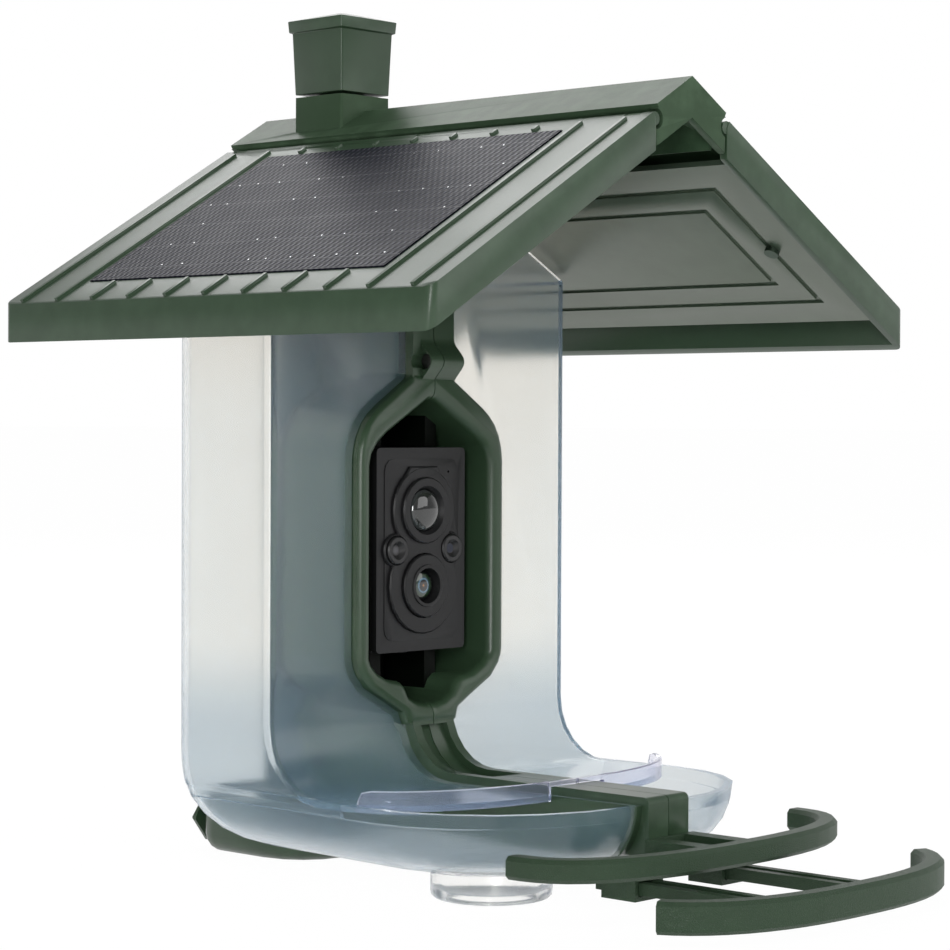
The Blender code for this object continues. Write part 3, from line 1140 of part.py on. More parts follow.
def make_faceplate():
    """The camera's faceplate: a shallow panel, the raised figure and the rings around both lenses."""
    plate_outline = rounded_rectangle(CASE_HALF_WIDTH, CASE_HALF_HEIGHT, CASE_CORNER, (0.0, CAMERA_Z), 2)
    face = prism("camera_faceplate", plate_outline, "Y", CASE_FRONT_Y, CASE_FRONT_Y + FACE_THICKNESS, "black")
    panel = rounded_rectangle(PANEL_HALF_WIDTH, PANEL_HALF_HEIGHT, PANEL_CORNER, (0.0, CAMERA_Z), 3)
    figure_y = CASE_FRONT_Y - PANEL_PROUD
    shoulders = [(PLATE_SHOULDER_HALF, PLATE_SHOULDER_Z), (PLATE_TOP_HALF, PLATE_TOP_Z),
                 (-PLATE_TOP_HALF, PLATE_TOP_Z), (-PLATE_SHOULDER_HALF, PLATE_SHOULDER_Z)]
    pieces = [front_solid("panel", panel, PANEL_PROUD, 0.0, CASE_FRONT_Y),
              face_disc("upper", 0.0, PIR_Z, PLATE_UPPER_RADIUS, PLATE_HEIGHT, PLATE_EDGE, figure_y),
              face_disc("lower", 0.0, LENS_Z, PLATE_LOWER_RADIUS, PLATE_HEIGHT, PLATE_EDGE, figure_y)]
    pieces.append(front_solid("shoulders", shoulders, PLATE_HEIGHT - GAP / 2, PLATE_EDGE, figure_y))
    top_y = figure_y - PLATE_HEIGHT
    pieces += [face_disc("wing", side * SENSOR_X, SENSOR_Z, SENSOR_RADIUS + PLATE_EDGE * 2,
                         PLATE_HEIGHT - GAP,
                         PLATE_EDGE, figure_y, 20) for side in (-1, 1)]
    pieces.append(face_disc("pir_ring", 0.0, PIR_Z, PIR_RING_RADIUS, RING_HEIGHT, PLATE_EDGE, top_y))
    join(face, *pieces)
    tools = [turned("mouth", [(PIR_LENS_RADIUS + BORE_CHAMFER + RING_HEIGHT, top_y - 2 * RING_HEIGHT),
                              (PIR_LENS_RADIUS + GAP, top_y + GAP), (PIR_LENS_RADIUS + GAP,
                                                                     CASE_FRONT_Y + OVERRUN)],
                    "Y", (0.0, PIR_Z), "black", 24),
             cylinder("lens_bore", "Y", (0.0, LENS_Z), LENS_RING_RADIUS + GAP, top_y - OVERRUN,
                      CASE_FRONT_Y + OVERRUN, sides=24),
             cylinder("microphone", "Y", (MIC_X, MIC_Z), MIC_RADIUS, figure_y - OVERRUN,
                      CASE_FRONT_Y + OVERRUN,
                      sides=8)]
    tools += [cylinder("sensor_bore", "Y", (side * SENSOR_X, SENSOR_Z), SENSOR_RADIUS + GAP, top_y - OVERRUN,
                       CASE_FRONT_Y + OVERRUN, sides=20) for side in (-1, 1)]
    return smooth(cut(face, *tools))


def make_camera_optics():
    """The motion sensor's dome, the camera lens in its stepped barrel and the two small sensors."""
    back = CASE_FRONT_Y + FACE_THICKNESS
    top_y = CASE_FRONT_Y - PANEL_PROUD - PLATE_HEIGHT
    dome = [(PIR_LENS_RADIUS, back), (PIR_LENS_RADIUS, top_y + GAP)]
    for step in range(1, DOME_STEPS):
        angle = math.pi / 2 * step / DOME_STEPS
        dome.append((PIR_LENS_RADIUS * math.cos(angle), top_y - PIR_DOME / 2 * math.sin(angle)))
    smooth(turned("motion_lens", dome, "Y", (0.0, PIR_Z), "lens", 24))
    board_y = CASE_BACK_Y - CASE_WALL - BATTERY_DEPTH - BOARD_THICKNESS - 2 * GAP
    ring_y = top_y - RING_HEIGHT
    barrel = turned("camera_barrel", [(LENS_MID_RADIUS, board_y - GAP), (LENS_MID_RADIUS, back),
                                      (LENS_RING_RADIUS, back),
                                      (LENS_RING_RADIUS, ring_y + PLATE_EDGE), (LENS_RING_RADIUS - PLATE_EDGE,
                                                                                ring_y)],
                    "Y", (0.0, LENS_Z), "black", 24)
    join(barrel, turned("hood", [(LENS_MID_RADIUS, ring_y + RING_HEIGHT),
                                 (LENS_MID_RADIUS, ring_y - PLATE_EDGE)],
                        "Y", (0.0, LENS_Z), "black", 24))
    depth = ring_y + 2 * RING_HEIGHT
    well = [(LENS_GLASS_RADIUS + BORE_CHAMFER, ring_y - OVERRUN / 2), (LENS_GLASS_RADIUS + GAP, depth),
            (LENS_GLASS_RADIUS + GAP, depth + BORE_CHAMFER)]
    smooth(cut(barrel, turned("well", well, "Y", (0.0, LENS_Z), "black", 24)))
    floor_y = depth + BORE_CHAMFER - GAP
    glass = [(LENS_GLASS_RADIUS, floor_y), (LENS_GLASS_RADIUS, depth)]
    for step in range(1, DOME_STEPS):
        angle = math.pi / 2 * step / DOME_STEPS
        glass.append((LENS_GLASS_RADIUS * math.cos(angle), depth - BORE_CHAMFER * math.sin(angle)))
    smooth(turned("camera_lens", glass, "Y", (0.0, LENS_Z), "lens", 24))
    for name, side in (("light_sensor", -1), ("status_light", 1)):
        disc = face_disc(name, side * SENSOR_X, SENSOR_Z, SENSOR_RADIUS, SENSOR_PROUD + FACE_THICKNESS,
                         PLATE_EDGE,
                         top_y + FACE_THICKNESS, 20)
        smooth(cut(disc, turned("dish", [(SENSOR_LENS_RADIUS * 2, top_y - SENSOR_PROUD - GAP),
                                         (SENSOR_LENS_RADIUS, top_y + SENSOR_PROUD)],
                                "Y", (side * SENSOR_X, SENSOR_Z), "black", 16)))


def make_camera_case():
    """The camera's case with its seal, board, battery and power button."""
    outline = rounded_rectangle(CASE_HALF_WIDTH, CASE_HALF_HEIGHT, CASE_CORNER, (0.0, CAMERA_Z), 2)
    front = CASE_FRONT_Y + FACE_THICKNESS + SEAL_THICKNESS + 2 * GAP
    case = prism("camera_case", outline, "Y", front, CASE_BACK_Y, "black")
    hollow = rounded_rectangle(CASE_HALF_WIDTH - CASE_WALL, CASE_HALF_HEIGHT - CASE_WALL, CASE_CORNER / 2,
                               (0.0, CAMERA_Z), 2)
    base_z = CAMERA_Z - CASE_HALF_HEIGHT
    cut(case, prism("hollow", hollow, "Y", front - OVERRUN, CASE_BACK_Y - CASE_WALL),
        cylinder("button_bore", "Z", (0.0, BUTTON_Y), BUTTON_RADIUS + GAP, base_z - OVERRUN, base_z + OVERRUN,
                 sides=20))
    seal = prism("camera_seal", rounded_rectangle(CASE_HALF_WIDTH - GAP, CASE_HALF_HEIGHT - GAP, CASE_CORNER,
                                                  (0.0, CAMERA_Z), 2),
                 "Y", front - GAP - SEAL_THICKNESS, front - GAP, "rubber")
    cut(seal, prism("seal_hole", hollow, "Y", front - OVERRUN, front + OVERRUN))
    rear = CASE_BACK_Y - CASE_WALL - GAP
    block("battery", (-BATTERY_HALF_WIDTH, rear - BATTERY_DEPTH, CAMERA_Z - BATTERY_HALF_HEIGHT),
          (BATTERY_HALF_WIDTH, rear, CAMERA_Z + BATTERY_HALF_HEIGHT), "battery")
    board_y = rear - BATTERY_DEPTH - GAP
    board_half = CASE_HALF_WIDTH - CASE_WALL - GAP
    block("main_board", (-board_half, board_y - BOARD_THICKNESS, CAMERA_Z - BATTERY_HALF_HEIGHT),
          (board_half, board_y, CAMERA_Z + BATTERY_HALF_HEIGHT), "board")
    low = base_z - BUTTON_PROUD
    flange_z = base_z + CASE_WALL + GAP
    profile = [(BUTTON_RADIUS - PLATE_EDGE, low), (BUTTON_RADIUS, low + PLATE_EDGE),
               (BUTTON_RADIUS, flange_z),
               (BUTTON_RADIUS + BUTTON_FLANGE, flange_z), (BUTTON_RADIUS + BUTTON_FLANGE,
                                                           flange_z + BUTTON_FLANGE)]
    button = turned("power_button", profile, "Z", (0.0, BUTTON_Y), "rubber", 20)
    hang_on(smooth(button), (0.0, BUTTON_Y, low))


def make_camera():
    """The whole camera module."""
    make_faceplate()
    make_camera_optics()
    make_camera_case()


def clear_scene():
    """Remove every object that the scene holds."""
    for item in list(bpy.data.objects):
        bpy.data.objects.remove(item)


def build():
    """Make the whole feeder."""
    clear_scene()
    make_roof()
    make_housing()
    make_housing_screws()
    make_hoppers()
    make_rear_base()
    make_base_metal()
    make_rear_tab()
    make_inner_perch()
    make_outer_perch()
    make_camera()


build()
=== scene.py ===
"""Smart bird feeder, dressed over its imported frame: moulded green roof, housing and perches,
frosted seed hoppers, a solar laminate on each slope and a black camera in the middle.

Lengths are in metres. The front faces -Y, +Z is up and Z = 0 is the surface it stands on.
"""
import json
import logging
import math
from dataclasses import dataclass
from enum import Enum
from typing import Any, Iterable, Sequence

import bmesh
import bpy
from mathutils import Euler, Matrix, Vector

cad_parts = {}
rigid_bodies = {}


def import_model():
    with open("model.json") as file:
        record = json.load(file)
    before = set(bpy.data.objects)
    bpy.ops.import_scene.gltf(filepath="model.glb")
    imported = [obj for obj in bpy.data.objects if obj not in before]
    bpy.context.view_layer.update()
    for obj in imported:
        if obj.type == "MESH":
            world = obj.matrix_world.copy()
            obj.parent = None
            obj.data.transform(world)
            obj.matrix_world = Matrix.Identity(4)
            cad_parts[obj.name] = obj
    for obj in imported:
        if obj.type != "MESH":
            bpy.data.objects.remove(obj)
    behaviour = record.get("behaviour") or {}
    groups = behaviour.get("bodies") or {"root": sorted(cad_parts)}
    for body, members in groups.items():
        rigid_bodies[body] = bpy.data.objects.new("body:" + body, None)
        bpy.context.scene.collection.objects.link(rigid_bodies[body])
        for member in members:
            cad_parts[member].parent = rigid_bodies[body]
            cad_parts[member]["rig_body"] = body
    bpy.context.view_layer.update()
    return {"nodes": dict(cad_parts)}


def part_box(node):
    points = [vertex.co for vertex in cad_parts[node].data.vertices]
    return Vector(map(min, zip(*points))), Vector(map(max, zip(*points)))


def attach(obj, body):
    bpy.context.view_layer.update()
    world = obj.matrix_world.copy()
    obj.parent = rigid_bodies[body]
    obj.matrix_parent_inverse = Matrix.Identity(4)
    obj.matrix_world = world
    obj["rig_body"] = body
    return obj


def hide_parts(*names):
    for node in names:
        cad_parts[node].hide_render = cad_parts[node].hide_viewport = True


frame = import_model()

LOG = logging.getLogger("bird_feeder")
MM = 0.001
ROOF_SLOPE = math.radians(30.36)
SHARP_TURN = math.radians(38)
WHITE = (1.0, 1.0, 1.0, 1.0)
CLOUDS_PER_METRE = 38.0
PEBBLE_STEEPNESS = 3.2
CONVEX_RANGE = (0.51, 0.60)
PATCHES_PER_METRE = 130.0
PATCH_RANGE = (0.35, 0.70)
SHIFT_SEED = 7
KEPT_SEED = 11

Colour = tuple[float, float, float]
Place = tuple[float, float, float]


class Side(Enum):
    """The feeder's two halves, with the sign of their X."""

    LEFT = -1
    RIGHT = 1

    @property
    def word(self) -> str:
        """The side's name as the nodes use it."""
        return self.name.lower()


class Graph:
    """A small helper that adds and links nodes in one node tree."""

    def __init__(self, tree: bpy.types.NodeTree) -> None:
        """Keep the tree.

        Args:
            tree: The shader or geometry node tree to fill.
        """
        self.tree = tree

    def add(self, kind: str, **settings: Any) -> bpy.types.Node:
        """Add a node, set its properties and fill its inputs.

        Args:
            kind: The node's type name.
            settings: Properties, or input values under the key inputs.

        Returns:
            The new node.
        """
        node = self.tree.nodes.new(kind)
        inputs = settings.pop("inputs", {})
        for name, value in settings.items():
            setattr(node, name, value)
        for key, value in inputs.items():
            self.feed(value, node.inputs[key])
        return node

    def feed(self, value: Any, socket: bpy.types.NodeSocket) -> None:
        """Link a socket to an input, or set a plain value there.

        Args:
            value: An output socket, a number or a tuple.
            socket: The input.
        """
        if isinstance(value, bpy.types.NodeSocket):
            self.tree.links.new(value, socket)
        else:
            socket.default_value = value

    def math(self, operation: str, *values: Any) -> bpy.types.NodeSocket:
        """Add a Math node.

        Args:
            operation: The Math node's operation.
            values: Its inputs in order.

        Returns:
            The node's output.
        """
        node = self.add("ShaderNodeMath", operation=operation)
        for index, value in enumerate(values):
            self.feed(value, node.inputs[index])
        return node.outputs[0]

    def ramp(self, value: Any, stops: Iterable[tuple[float, Colour]]) -> bpy.types.NodeSocket:
        """Add a colour ramp.

        Args:
            value: What drives the ramp.
            stops: Positions and colours.

        Returns:
            The ramp's colour.
        """
        node = self.add("ShaderNodeValToRGB", inputs={"Fac": value})
        ramp = node.color_ramp
        for index, (place, colour) in enumerate(stops):
            element = ramp.elements[index] if index < 2 else ramp.elements.new(place)
            element.position = place
            element.color = (*colour, 1.0)
        return node.outputs["Color"]

    def mix(self, share: Any, first: Any, second: Any) -> bpy.types.NodeSocket:
        """Mix two colours.

        Args:
            share: How much of the second shows.
            first: A colour or socket.
            second: A colour or socket.

        Returns:
            The mixed colour.
        """
        node = self.add("ShaderNodeMix", data_type="RGBA")
        self.feed(share, node.inputs[0])
        for value, socket in ((first, node.inputs[6]), (second, node.inputs[7])):
            self.feed(value if isinstance(value, bpy.types.NodeSocket) else (*value, 1.0), socket)
        return node.outputs[2]

    def place(self) -> bpy.types.NodeSocket:
        """Add a Texture Coordinate node and give its Object coordinates."""
        return self.add("ShaderNodeTexCoord").outputs["Object"]

    def noise(self, place: Any, per_metre: Any, detail: float = 2.0) -> bpy.types.NodeSocket:
        """Add a noise texture.

        Args:
            place: Where the noise is read.
            per_metre: Its lumps per metre.
            detail: Its octaves.

        Returns:
            The noise's value.
        """
        node = self.add("ShaderNodeTexNoise", inputs={"Vector": place, "Scale": per_metre, "Detail": detail})
        return node.outputs["Fac"]

    def step(self, value: Any, start: float, end: float, smooth: bool = False,
             falling: bool = False) -> bpy.types.NodeSocket:
        """Add a step between two values.

        Args:
            value: What drives the step.
            start: Where it starts to change.
            end: Where it has changed in full.
            smooth: Whether it eases in and out.
            falling: Whether it falls from 1 to 0 rather than rises from 0 to 1.

        Returns:
            The step's value.
        """
        kind = "SMOOTHSTEP" if smooth else "LINEAR"
        node = self.add("ShaderNodeMapRange", interpolation_type=kind, inputs={
            "Value": value, "From Min": start, "From Max": end,
            "To Min": float(falling), "To Max": float(not falling)})
        return node.outputs["Result"]


def group_tree(name: str, inputs: Iterable[tuple[str, str, Any]],
               outputs: Iterable[tuple[str, str]]) -> Graph:
    """Start a shader node group with named sockets.

    Args:
        name: The group's name.
        inputs: Name, socket type and default of each input.
        outputs: Name and socket type of each output.

    Returns:
        The group's graph, with its input and output nodes added.
    """
    tree = bpy.data.node_groups.new(name, "ShaderNodeTree")
    for label, kind, default in inputs:
        socket = tree.interface.new_socket(name=label, in_out="INPUT", socket_type=kind)
        if default is not None:
            socket.default_value = default
    for label, kind in outputs:
        tree.interface.new_socket(name=label, in_out="OUTPUT", socket_type=kind)
    graph = Graph(tree)
    graph.add("NodeGroupInput", name="In")
    graph.add("NodeGroupOutput", name="Out")
    return graph


def moulded_grain_group() -> bpy.types.NodeTree:
    """Fine spark-eroded grain with a faint cloudiness, for moulded plastic.

    Returns:
        The group: Colour and Roughness that vary a little, and a Height.
    """
    found = bpy.data.node_groups.get("Moulded grain")
    if found:
        return found
    graph = group_tree(
        "Moulded grain",
        [("Colour", "NodeSocketColor", (0.1, 0.1, 0.1, 1)), ("Roughness", "NodeSocketFloat", 0.4),
         ("Grain per metre", "NodeSocketFloat", 2500.0), ("Cloudiness", "NodeSocketFloat", 0.08)],
        [("Colour", "NodeSocketColor"), ("Roughness", "NodeSocketFloat"), ("Height", "NodeSocketFloat")])
    given, out = graph.tree.nodes["In"], graph.tree.nodes["Out"]
    place = graph.place()
    cloud = graph.noise(place, CLOUDS_PER_METRE, detail=3.0)
    grain = graph.noise(place, given.outputs["Grain per metre"])
    swing = graph.math("MULTIPLY", graph.math("SUBTRACT", cloud, 0.5), given.outputs["Cloudiness"])
    level = graph.math("ADD", graph.math("MULTIPLY", swing, 2.0), 1.0)
    tinted = graph.add("ShaderNodeVectorMath", operation="SCALE", inputs={
        0: given.outputs["Colour"], 3: level})
    graph.feed(tinted.outputs[0], out.inputs["Colour"])
    graph.feed(graph.math("ADD", given.outputs["Roughness"], swing), out.inputs["Roughness"])
    graph.feed(grain, out.inputs["Height"])
    return graph.tree


def pebble_group() -> bpy.types.NodeTree:
    """The leathery pebbles moulded on the perches for grip.

    Returns:
        The group: a Height and a mask of its Hollows, which the finish darkens as painted shade.
    """
    found = bpy.data.node_groups.get("Pebbles")
    if found:
        return found
    graph = group_tree("Pebbles", [("Pebbles per metre", "NodeSocketFloat", 650.0)],
                       [("Height", "NodeSocketFloat"), ("Hollows", "NodeSocketFloat")])
    given, out = graph.tree.nodes["In"], graph.tree.nodes["Out"]
    cells = graph.add("ShaderNodeTexVoronoi", feature="DISTANCE_TO_EDGE", inputs={
        "Vector": graph.place(), "Scale": given.outputs["Pebbles per metre"]}).outputs["Distance"]
    height = graph.math("MINIMUM", graph.math("MULTIPLY", cells, PEBBLE_STEEPNESS), 1.0)
    graph.feed(height, out.inputs["Height"])
    graph.feed(graph.math("SUBTRACT", 1.0, height), out.inputs["Hollows"])
    return graph.tree


def edge_wear_group() -> bpy.types.NodeTree:
    """Where a moulding is rubbed paler: on its convex edges, broken up by a noise.

    Returns:
        The group, with an Amount input and a Wear mask.
    """
    found = bpy.data.node_groups.get("Edge wear")
    if found:
        return found
    graph = group_tree("Edge wear", [("Amount", "NodeSocketFloat", 0.3)], [("Wear", "NodeSocketFloat")])
    given, out = graph.tree.nodes["In"], graph.tree.nodes["Out"]
    edge = graph.add("ShaderNodeNewGeometry").outputs["Pointiness"]
    convex = graph.step(edge, *CONVEX_RANGE)
    broken = graph.step(graph.noise(graph.place(), PATCHES_PER_METRE, detail=4.0), *PATCH_RANGE)
    graph.feed(graph.math("MULTIPLY", graph.math("MULTIPLY", convex, broken), given.outputs["Amount"]),
               out.inputs["Wear"])
    return graph.tree


def radial_group() -> bpy.types.NodeTree:
    """Distance from a centre in the camera's face plane, in millimetres.

    Returns:
        The group, with a Centre input and a Distance output.
    """
    found = bpy.data.node_groups.get("Face distance")
    if found:
        return found
    graph = group_tree("Face distance", [("Centre", "NodeSocketVector", (0, 0, 0))],
                       [("Distance", "NodeSocketFloat")])
    given, out = graph.tree.nodes["In"], graph.tree.nodes["Out"]
    away = graph.add("ShaderNodeVectorMath", operation="SUBTRACT", inputs={
        0: graph.place(), 1: given.outputs["Centre"]})
    flat = graph.add("ShaderNodeVectorMath", operation="MULTIPLY", inputs={
        0: away.outputs[0], 1: (1 / MM, 0, 1 / MM)})
    reach = graph.add("ShaderNodeVectorMath", operation="LENGTH", inputs={0: flat.outputs[0]})
    graph.feed(reach.outputs["Value"], out.inputs["Distance"])
    return graph.tree


@dataclass(frozen=True)
class Finish:
    """What every finish shares: a name, and the record's material slot."""

    name: str
    slot: str

    def start(self) -> tuple[bpy.types.Material, Graph, bpy.types.Node]:
        """A new material with its Principled shader.

        Returns:
            The material, its graph and the shader.
        """
        material = bpy.data.materials.new(self.name)
        material.use_nodes = True
        graph = Graph(material.node_tree)
        return material, graph, material.node_tree.nodes["Principled BSDF"]

    def material(self) -> bpy.types.Material:
        """The finish's material, built once."""
        found = bpy.data.materials.get(self.name)
        return found if found else self.build()

    def build(self) -> bpy.types.Material:
        """Build the material; each finish has its own way."""
        raise NotImplementedError


def shaded(colour: Colour, share: float) -> Colour:
    """The colour with only a share of its light."""
    return tuple(share * level for level in colour)


@dataclass(frozen=True)
class Moulded(Finish):
    """Opaque moulded plastic or rubber with a fine grain, worn paler along its edges; painted shade can
    darken its pebble hollows and, further in along +Y, the inside of a recess.
    """

    colour: Colour
    roughness: float = 0.42
    grain_per_metre: float = 2600.0
    grain_depth: float = 0.03 * MM
    cloudiness: float = 0.08
    gloss: float = 0.5
    gloss_tint: Colour = (1.0, 1.0, 1.0)
    edge_wear: float = 0.0
    worn_gain: float = 2.2
    worn_lift: float = 0.02
    pebbles: float = 0.0
    pebble_depth: float = 0.1 * MM
    pebble_grain: float = 0.3
    hollow_share: float = 0.3
    hollow_shade: float = 0.55
    fade: tuple[float, float] | None = None
    fade_shade: float = 0.04

    def build(self) -> bpy.types.Material:
        """Build the plastic.

        Returns:
            The material.
        """
        material, graph, shader = self.start()
        grain = graph.add("ShaderNodeGroup", node_tree=moulded_grain_group(), inputs={
            "Colour": (*self.colour, 1), "Roughness": self.roughness,
            "Grain per metre": self.grain_per_metre, "Cloudiness": self.cloudiness})
        height, depth, colour = grain.outputs["Height"], self.grain_depth, grain.outputs["Colour"]
        if self.pebbles > 0.0:
            pebble = graph.add("ShaderNodeGroup", node_tree=pebble_group(), inputs={
                "Pebbles per metre": self.pebbles})
            fine = graph.math("MULTIPLY", height, self.pebble_grain)
            height = graph.math("ADD", pebble.outputs["Height"], fine)
            depth = self.pebble_depth
            # Painted shade: the hollows between the pebbles are darkened.
            hollow_shade_mask = graph.math("MULTIPLY", pebble.outputs["Hollows"], self.hollow_share)
            colour = graph.mix(hollow_shade_mask, colour, shaded(self.colour, self.hollow_shade))
        if self.edge_wear > 0.0:
            worn = graph.add("ShaderNodeGroup", node_tree=edge_wear_group(), inputs={
                "Amount": self.edge_wear})
            pale = tuple(min(1.0, self.worn_gain * level + self.worn_lift) for level in self.colour)
            colour = graph.mix(worn.outputs["Wear"], colour, pale)
        # Painted shade: the colour darkens further in along +Y, where shade falls deep in a recess.
        if self.fade:
            inward = graph.add("ShaderNodeSeparateXYZ", inputs={0: graph.place()}).outputs["Y"]
            painted_shade_share = graph.step(inward, *self.fade, smooth=True)
            colour = graph.mix(painted_shade_share, colour, shaded(self.colour, self.fade_shade))
        bump = graph.add("ShaderNodeBump", inputs={"Height": height, "Distance": depth, "Strength": 1.0})
        graph.feed(colour, shader.inputs["Base Color"])
        graph.feed(grain.outputs["Roughness"], shader.inputs["Roughness"])
        graph.feed(bump.outputs["Normal"], shader.inputs["Normal"])
        shader.inputs["Specular IOR Level"].default_value = self.gloss
        shader.inputs["Specular Tint"].default_value = (*self.gloss_tint, 1)
        return material


@dataclass(frozen=True)
class Frosted(Finish):
    """Translucent moulded plastic with a satin surface and a faint cool haze over its warm body, which may be
    painted darker towards the bottom as shade.
    """

    colour: Colour
    roughness: float = 0.16
    transmission: float = 0.985
    bend: float = 1.40
    flow_per_metre: float = 22.0
    flow_swing: float = 0.08
    haze: float = 0.26
    haze_colour: Colour = (0.28, 0.52, 1.0)
    haze_spread: float = 1.0
    grain_per_metre: float = 1800.0
    grain_depth: float = 0.01 * MM
    cloudiness: float = 0.03
    thick: tuple[float, float] | None = None
    thick_tint: Colour = (0.80, 0.84, 0.88)
    shadow_colour: Colour = (0.90, 0.90, 0.88)

    def build(self) -> bpy.types.Material:
        """Build the frosted plastic, which lets light through to what is in its shadow.

        Returns:
            The material.
        """
        material, graph, shader = self.start()
        place = graph.place()
        flow = graph.noise(place, self.flow_per_metre, detail=4.0)
        rough = graph.math("ADD", self.roughness - self.flow_swing / 2,
                           graph.math("MULTIPLY", flow, self.flow_swing))
        grain = graph.add("ShaderNodeGroup", node_tree=moulded_grain_group(), inputs={
            "Colour": (*self.colour, 1), "Roughness": self.roughness,
            "Grain per metre": self.grain_per_metre, "Cloudiness": self.cloudiness})
        bump = graph.add("ShaderNodeBump", inputs={
            "Height": grain.outputs["Height"], "Distance": self.grain_depth, "Strength": 1.0})
        colour = grain.outputs["Colour"]
        # Painted shade: the body colour darkens towards the bottom, below the given heights.
        if self.thick:
            height = graph.add("ShaderNodeSeparateXYZ", inputs={0: place}).outputs["Z"]
            painted_shade_share = graph.step(height, *self.thick, smooth=True, falling=True)
            tinted = tuple(level * tint for level, tint in zip(self.colour, self.thick_tint))
            colour = graph.mix(painted_shade_share, colour, tinted)
        graph.feed(colour, shader.inputs["Base Color"])
        graph.feed(rough, shader.inputs["Roughness"])
        graph.feed(bump.outputs["Normal"], shader.inputs["Normal"])
        shader.inputs["Transmission Weight"].default_value = self.transmission
        shader.inputs["IOR"].default_value = self.bend
        shader.inputs["Sheen Weight"].default_value = self.haze
        shader.inputs["Sheen Roughness"].default_value = self.haze_spread
        shader.inputs["Sheen Tint"].default_value = (*self.haze_colour, 1)
        clear = graph.add("ShaderNodeBsdfTransparent", inputs={"Color": (*self.shadow_colour, 1)})
        path = graph.add("ShaderNodeLightPath")
        blend = graph.add("ShaderNodeMixShader", inputs={
            0: path.outputs["Is Shadow Ray"], 1: shader.outputs[0], 2: clear.outputs[0]})
        graph.feed(blend.outputs[0], material.node_tree.nodes["Material Output"].inputs["Surface"])
        return material


@dataclass(frozen=True)
class SolarLaminate(Finish):
    """Dark cells under a clear sheet embossed with a lattice of small domes, whose light and shade are
    painted into the colour.
    """

    pitch: float = 2.5 * MM
    slope: float = ROOF_SLOPE
    rows_per_pitch: float = 0.78
    dome_share: float = 0.25
    rib_share: float = 0.33
    relief: float = 0.35 * MM
    relief_strength: float = 0.8
    shades: tuple[tuple[float, Colour], ...] = (
        (0.10, (0.003, 0.003, 0.007)), (0.50, (0.017, 0.018, 0.030)), (0.90, (0.120, 0.118, 0.148)))
    clouds_per_metre: float = 55.0
    cloud_share: float = 0.4
    cloud_colour: Colour = (0.012, 0.014, 0.030)
    line_pitch: float = 15.6 * MM
    line_half: float = 0.012
    line_share: float = 0.45
    line_colour: Colour = (0.20, 0.205, 0.22)
    roughness: float = 0.38
    roughness_swing: float = 0.12
    gloss: float = 0.12

    def build(self) -> bpy.types.Material:
        """Build the laminate.

        Returns:
            The material.
        """
        material, graph, shader = self.start()
        place = graph.place()
        parts = graph.add("ShaderNodeSeparateXYZ", inputs={0: place})
        up = graph.math("DIVIDE", graph.math("ABSOLUTE", parts.outputs["X"]), math.cos(self.slope))
        turn = 2 * math.pi / self.pitch
        wave_up = graph.math("SINE", graph.math("MULTIPLY", up, turn * self.rows_per_pitch))
        wave_along = graph.math("SINE", graph.math("MULTIPLY", parts.outputs["Y"], turn))
        domes = graph.math("MULTIPLY", graph.math("MULTIPLY", wave_up, wave_along), self.dome_share)
        ribs = graph.math("MULTIPLY", graph.math("ADD", wave_along, 1.0), self.rib_share)
        lattice = graph.math("ADD", domes, ribs)
        cloud = graph.noise(place, self.clouds_per_metre, detail=3.0)
        # Painted light and shade: the ramp makes the dome tops and ribs lighter and the hollows darker, over
        # the dark cells and a random cloudy tone.
        cells_and_relief_light = graph.mix(graph.math("MULTIPLY", cloud, self.cloud_share),
                          graph.ramp(lattice, self.shades), self.cloud_colour)
        phase = graph.math("FRACT", graph.math("DIVIDE", up, self.line_pitch))
        off_line = graph.math("ABSOLUTE", graph.math("SUBTRACT", phase, 0.5))
        line = graph.math("LESS_THAN", off_line, self.line_half)
        graph.feed(graph.mix(graph.math("MULTIPLY", line, self.line_share), cells_and_relief_light, self.line_colour),
                   shader.inputs["Base Color"])
        swing = graph.math("MULTIPLY", cloud, self.roughness_swing)
        graph.feed(graph.math("ADD", self.roughness, swing), shader.inputs["Roughness"])
        bump = graph.add("ShaderNodeBump", inputs={
            "Height": lattice, "Distance": self.relief, "Strength": self.relief_strength})
        graph.feed(bump.outputs["Normal"], shader.inputs["Normal"])
        shader.inputs["Specular IOR Level"].default_value = self.gloss
        return material


@dataclass(frozen=True)
class Ringed(Finish):
    """Polished glass or plastic whose colour changes in rings around a centre on the camera's face."""

    centre: tuple[float, float]
    stops: tuple[tuple[float, Colour], ...]
    reach: float
    roughness: float = 0.06
    smears_per_metre: float = 260.0
    smear: float = 0.05
    coat: float = 1.0
    coat_roughness: float = 0.03

    def build(self) -> bpy.types.Material:
        """Build the rings.

        Returns:
            The material.
        """
        material, graph, shader = self.start()
        away = graph.add("ShaderNodeGroup", node_tree=radial_group(), inputs={
            "Centre": (self.centre[0], 0.0, self.centre[1])}).outputs["Distance"]
        share = graph.math("DIVIDE", away, self.reach / MM)
        graph.feed(graph.ramp(share, self.stops), shader.inputs["Base Color"])
        smear = graph.math("MULTIPLY", graph.noise(graph.place(), self.smears_per_metre), self.smear)
        graph.feed(graph.math("ADD", self.roughness, smear), shader.inputs["Roughness"])
        shader.inputs["Coat Weight"].default_value = self.coat
        shader.inputs["Coat Roughness"].default_value = self.coat_roughness
        return material


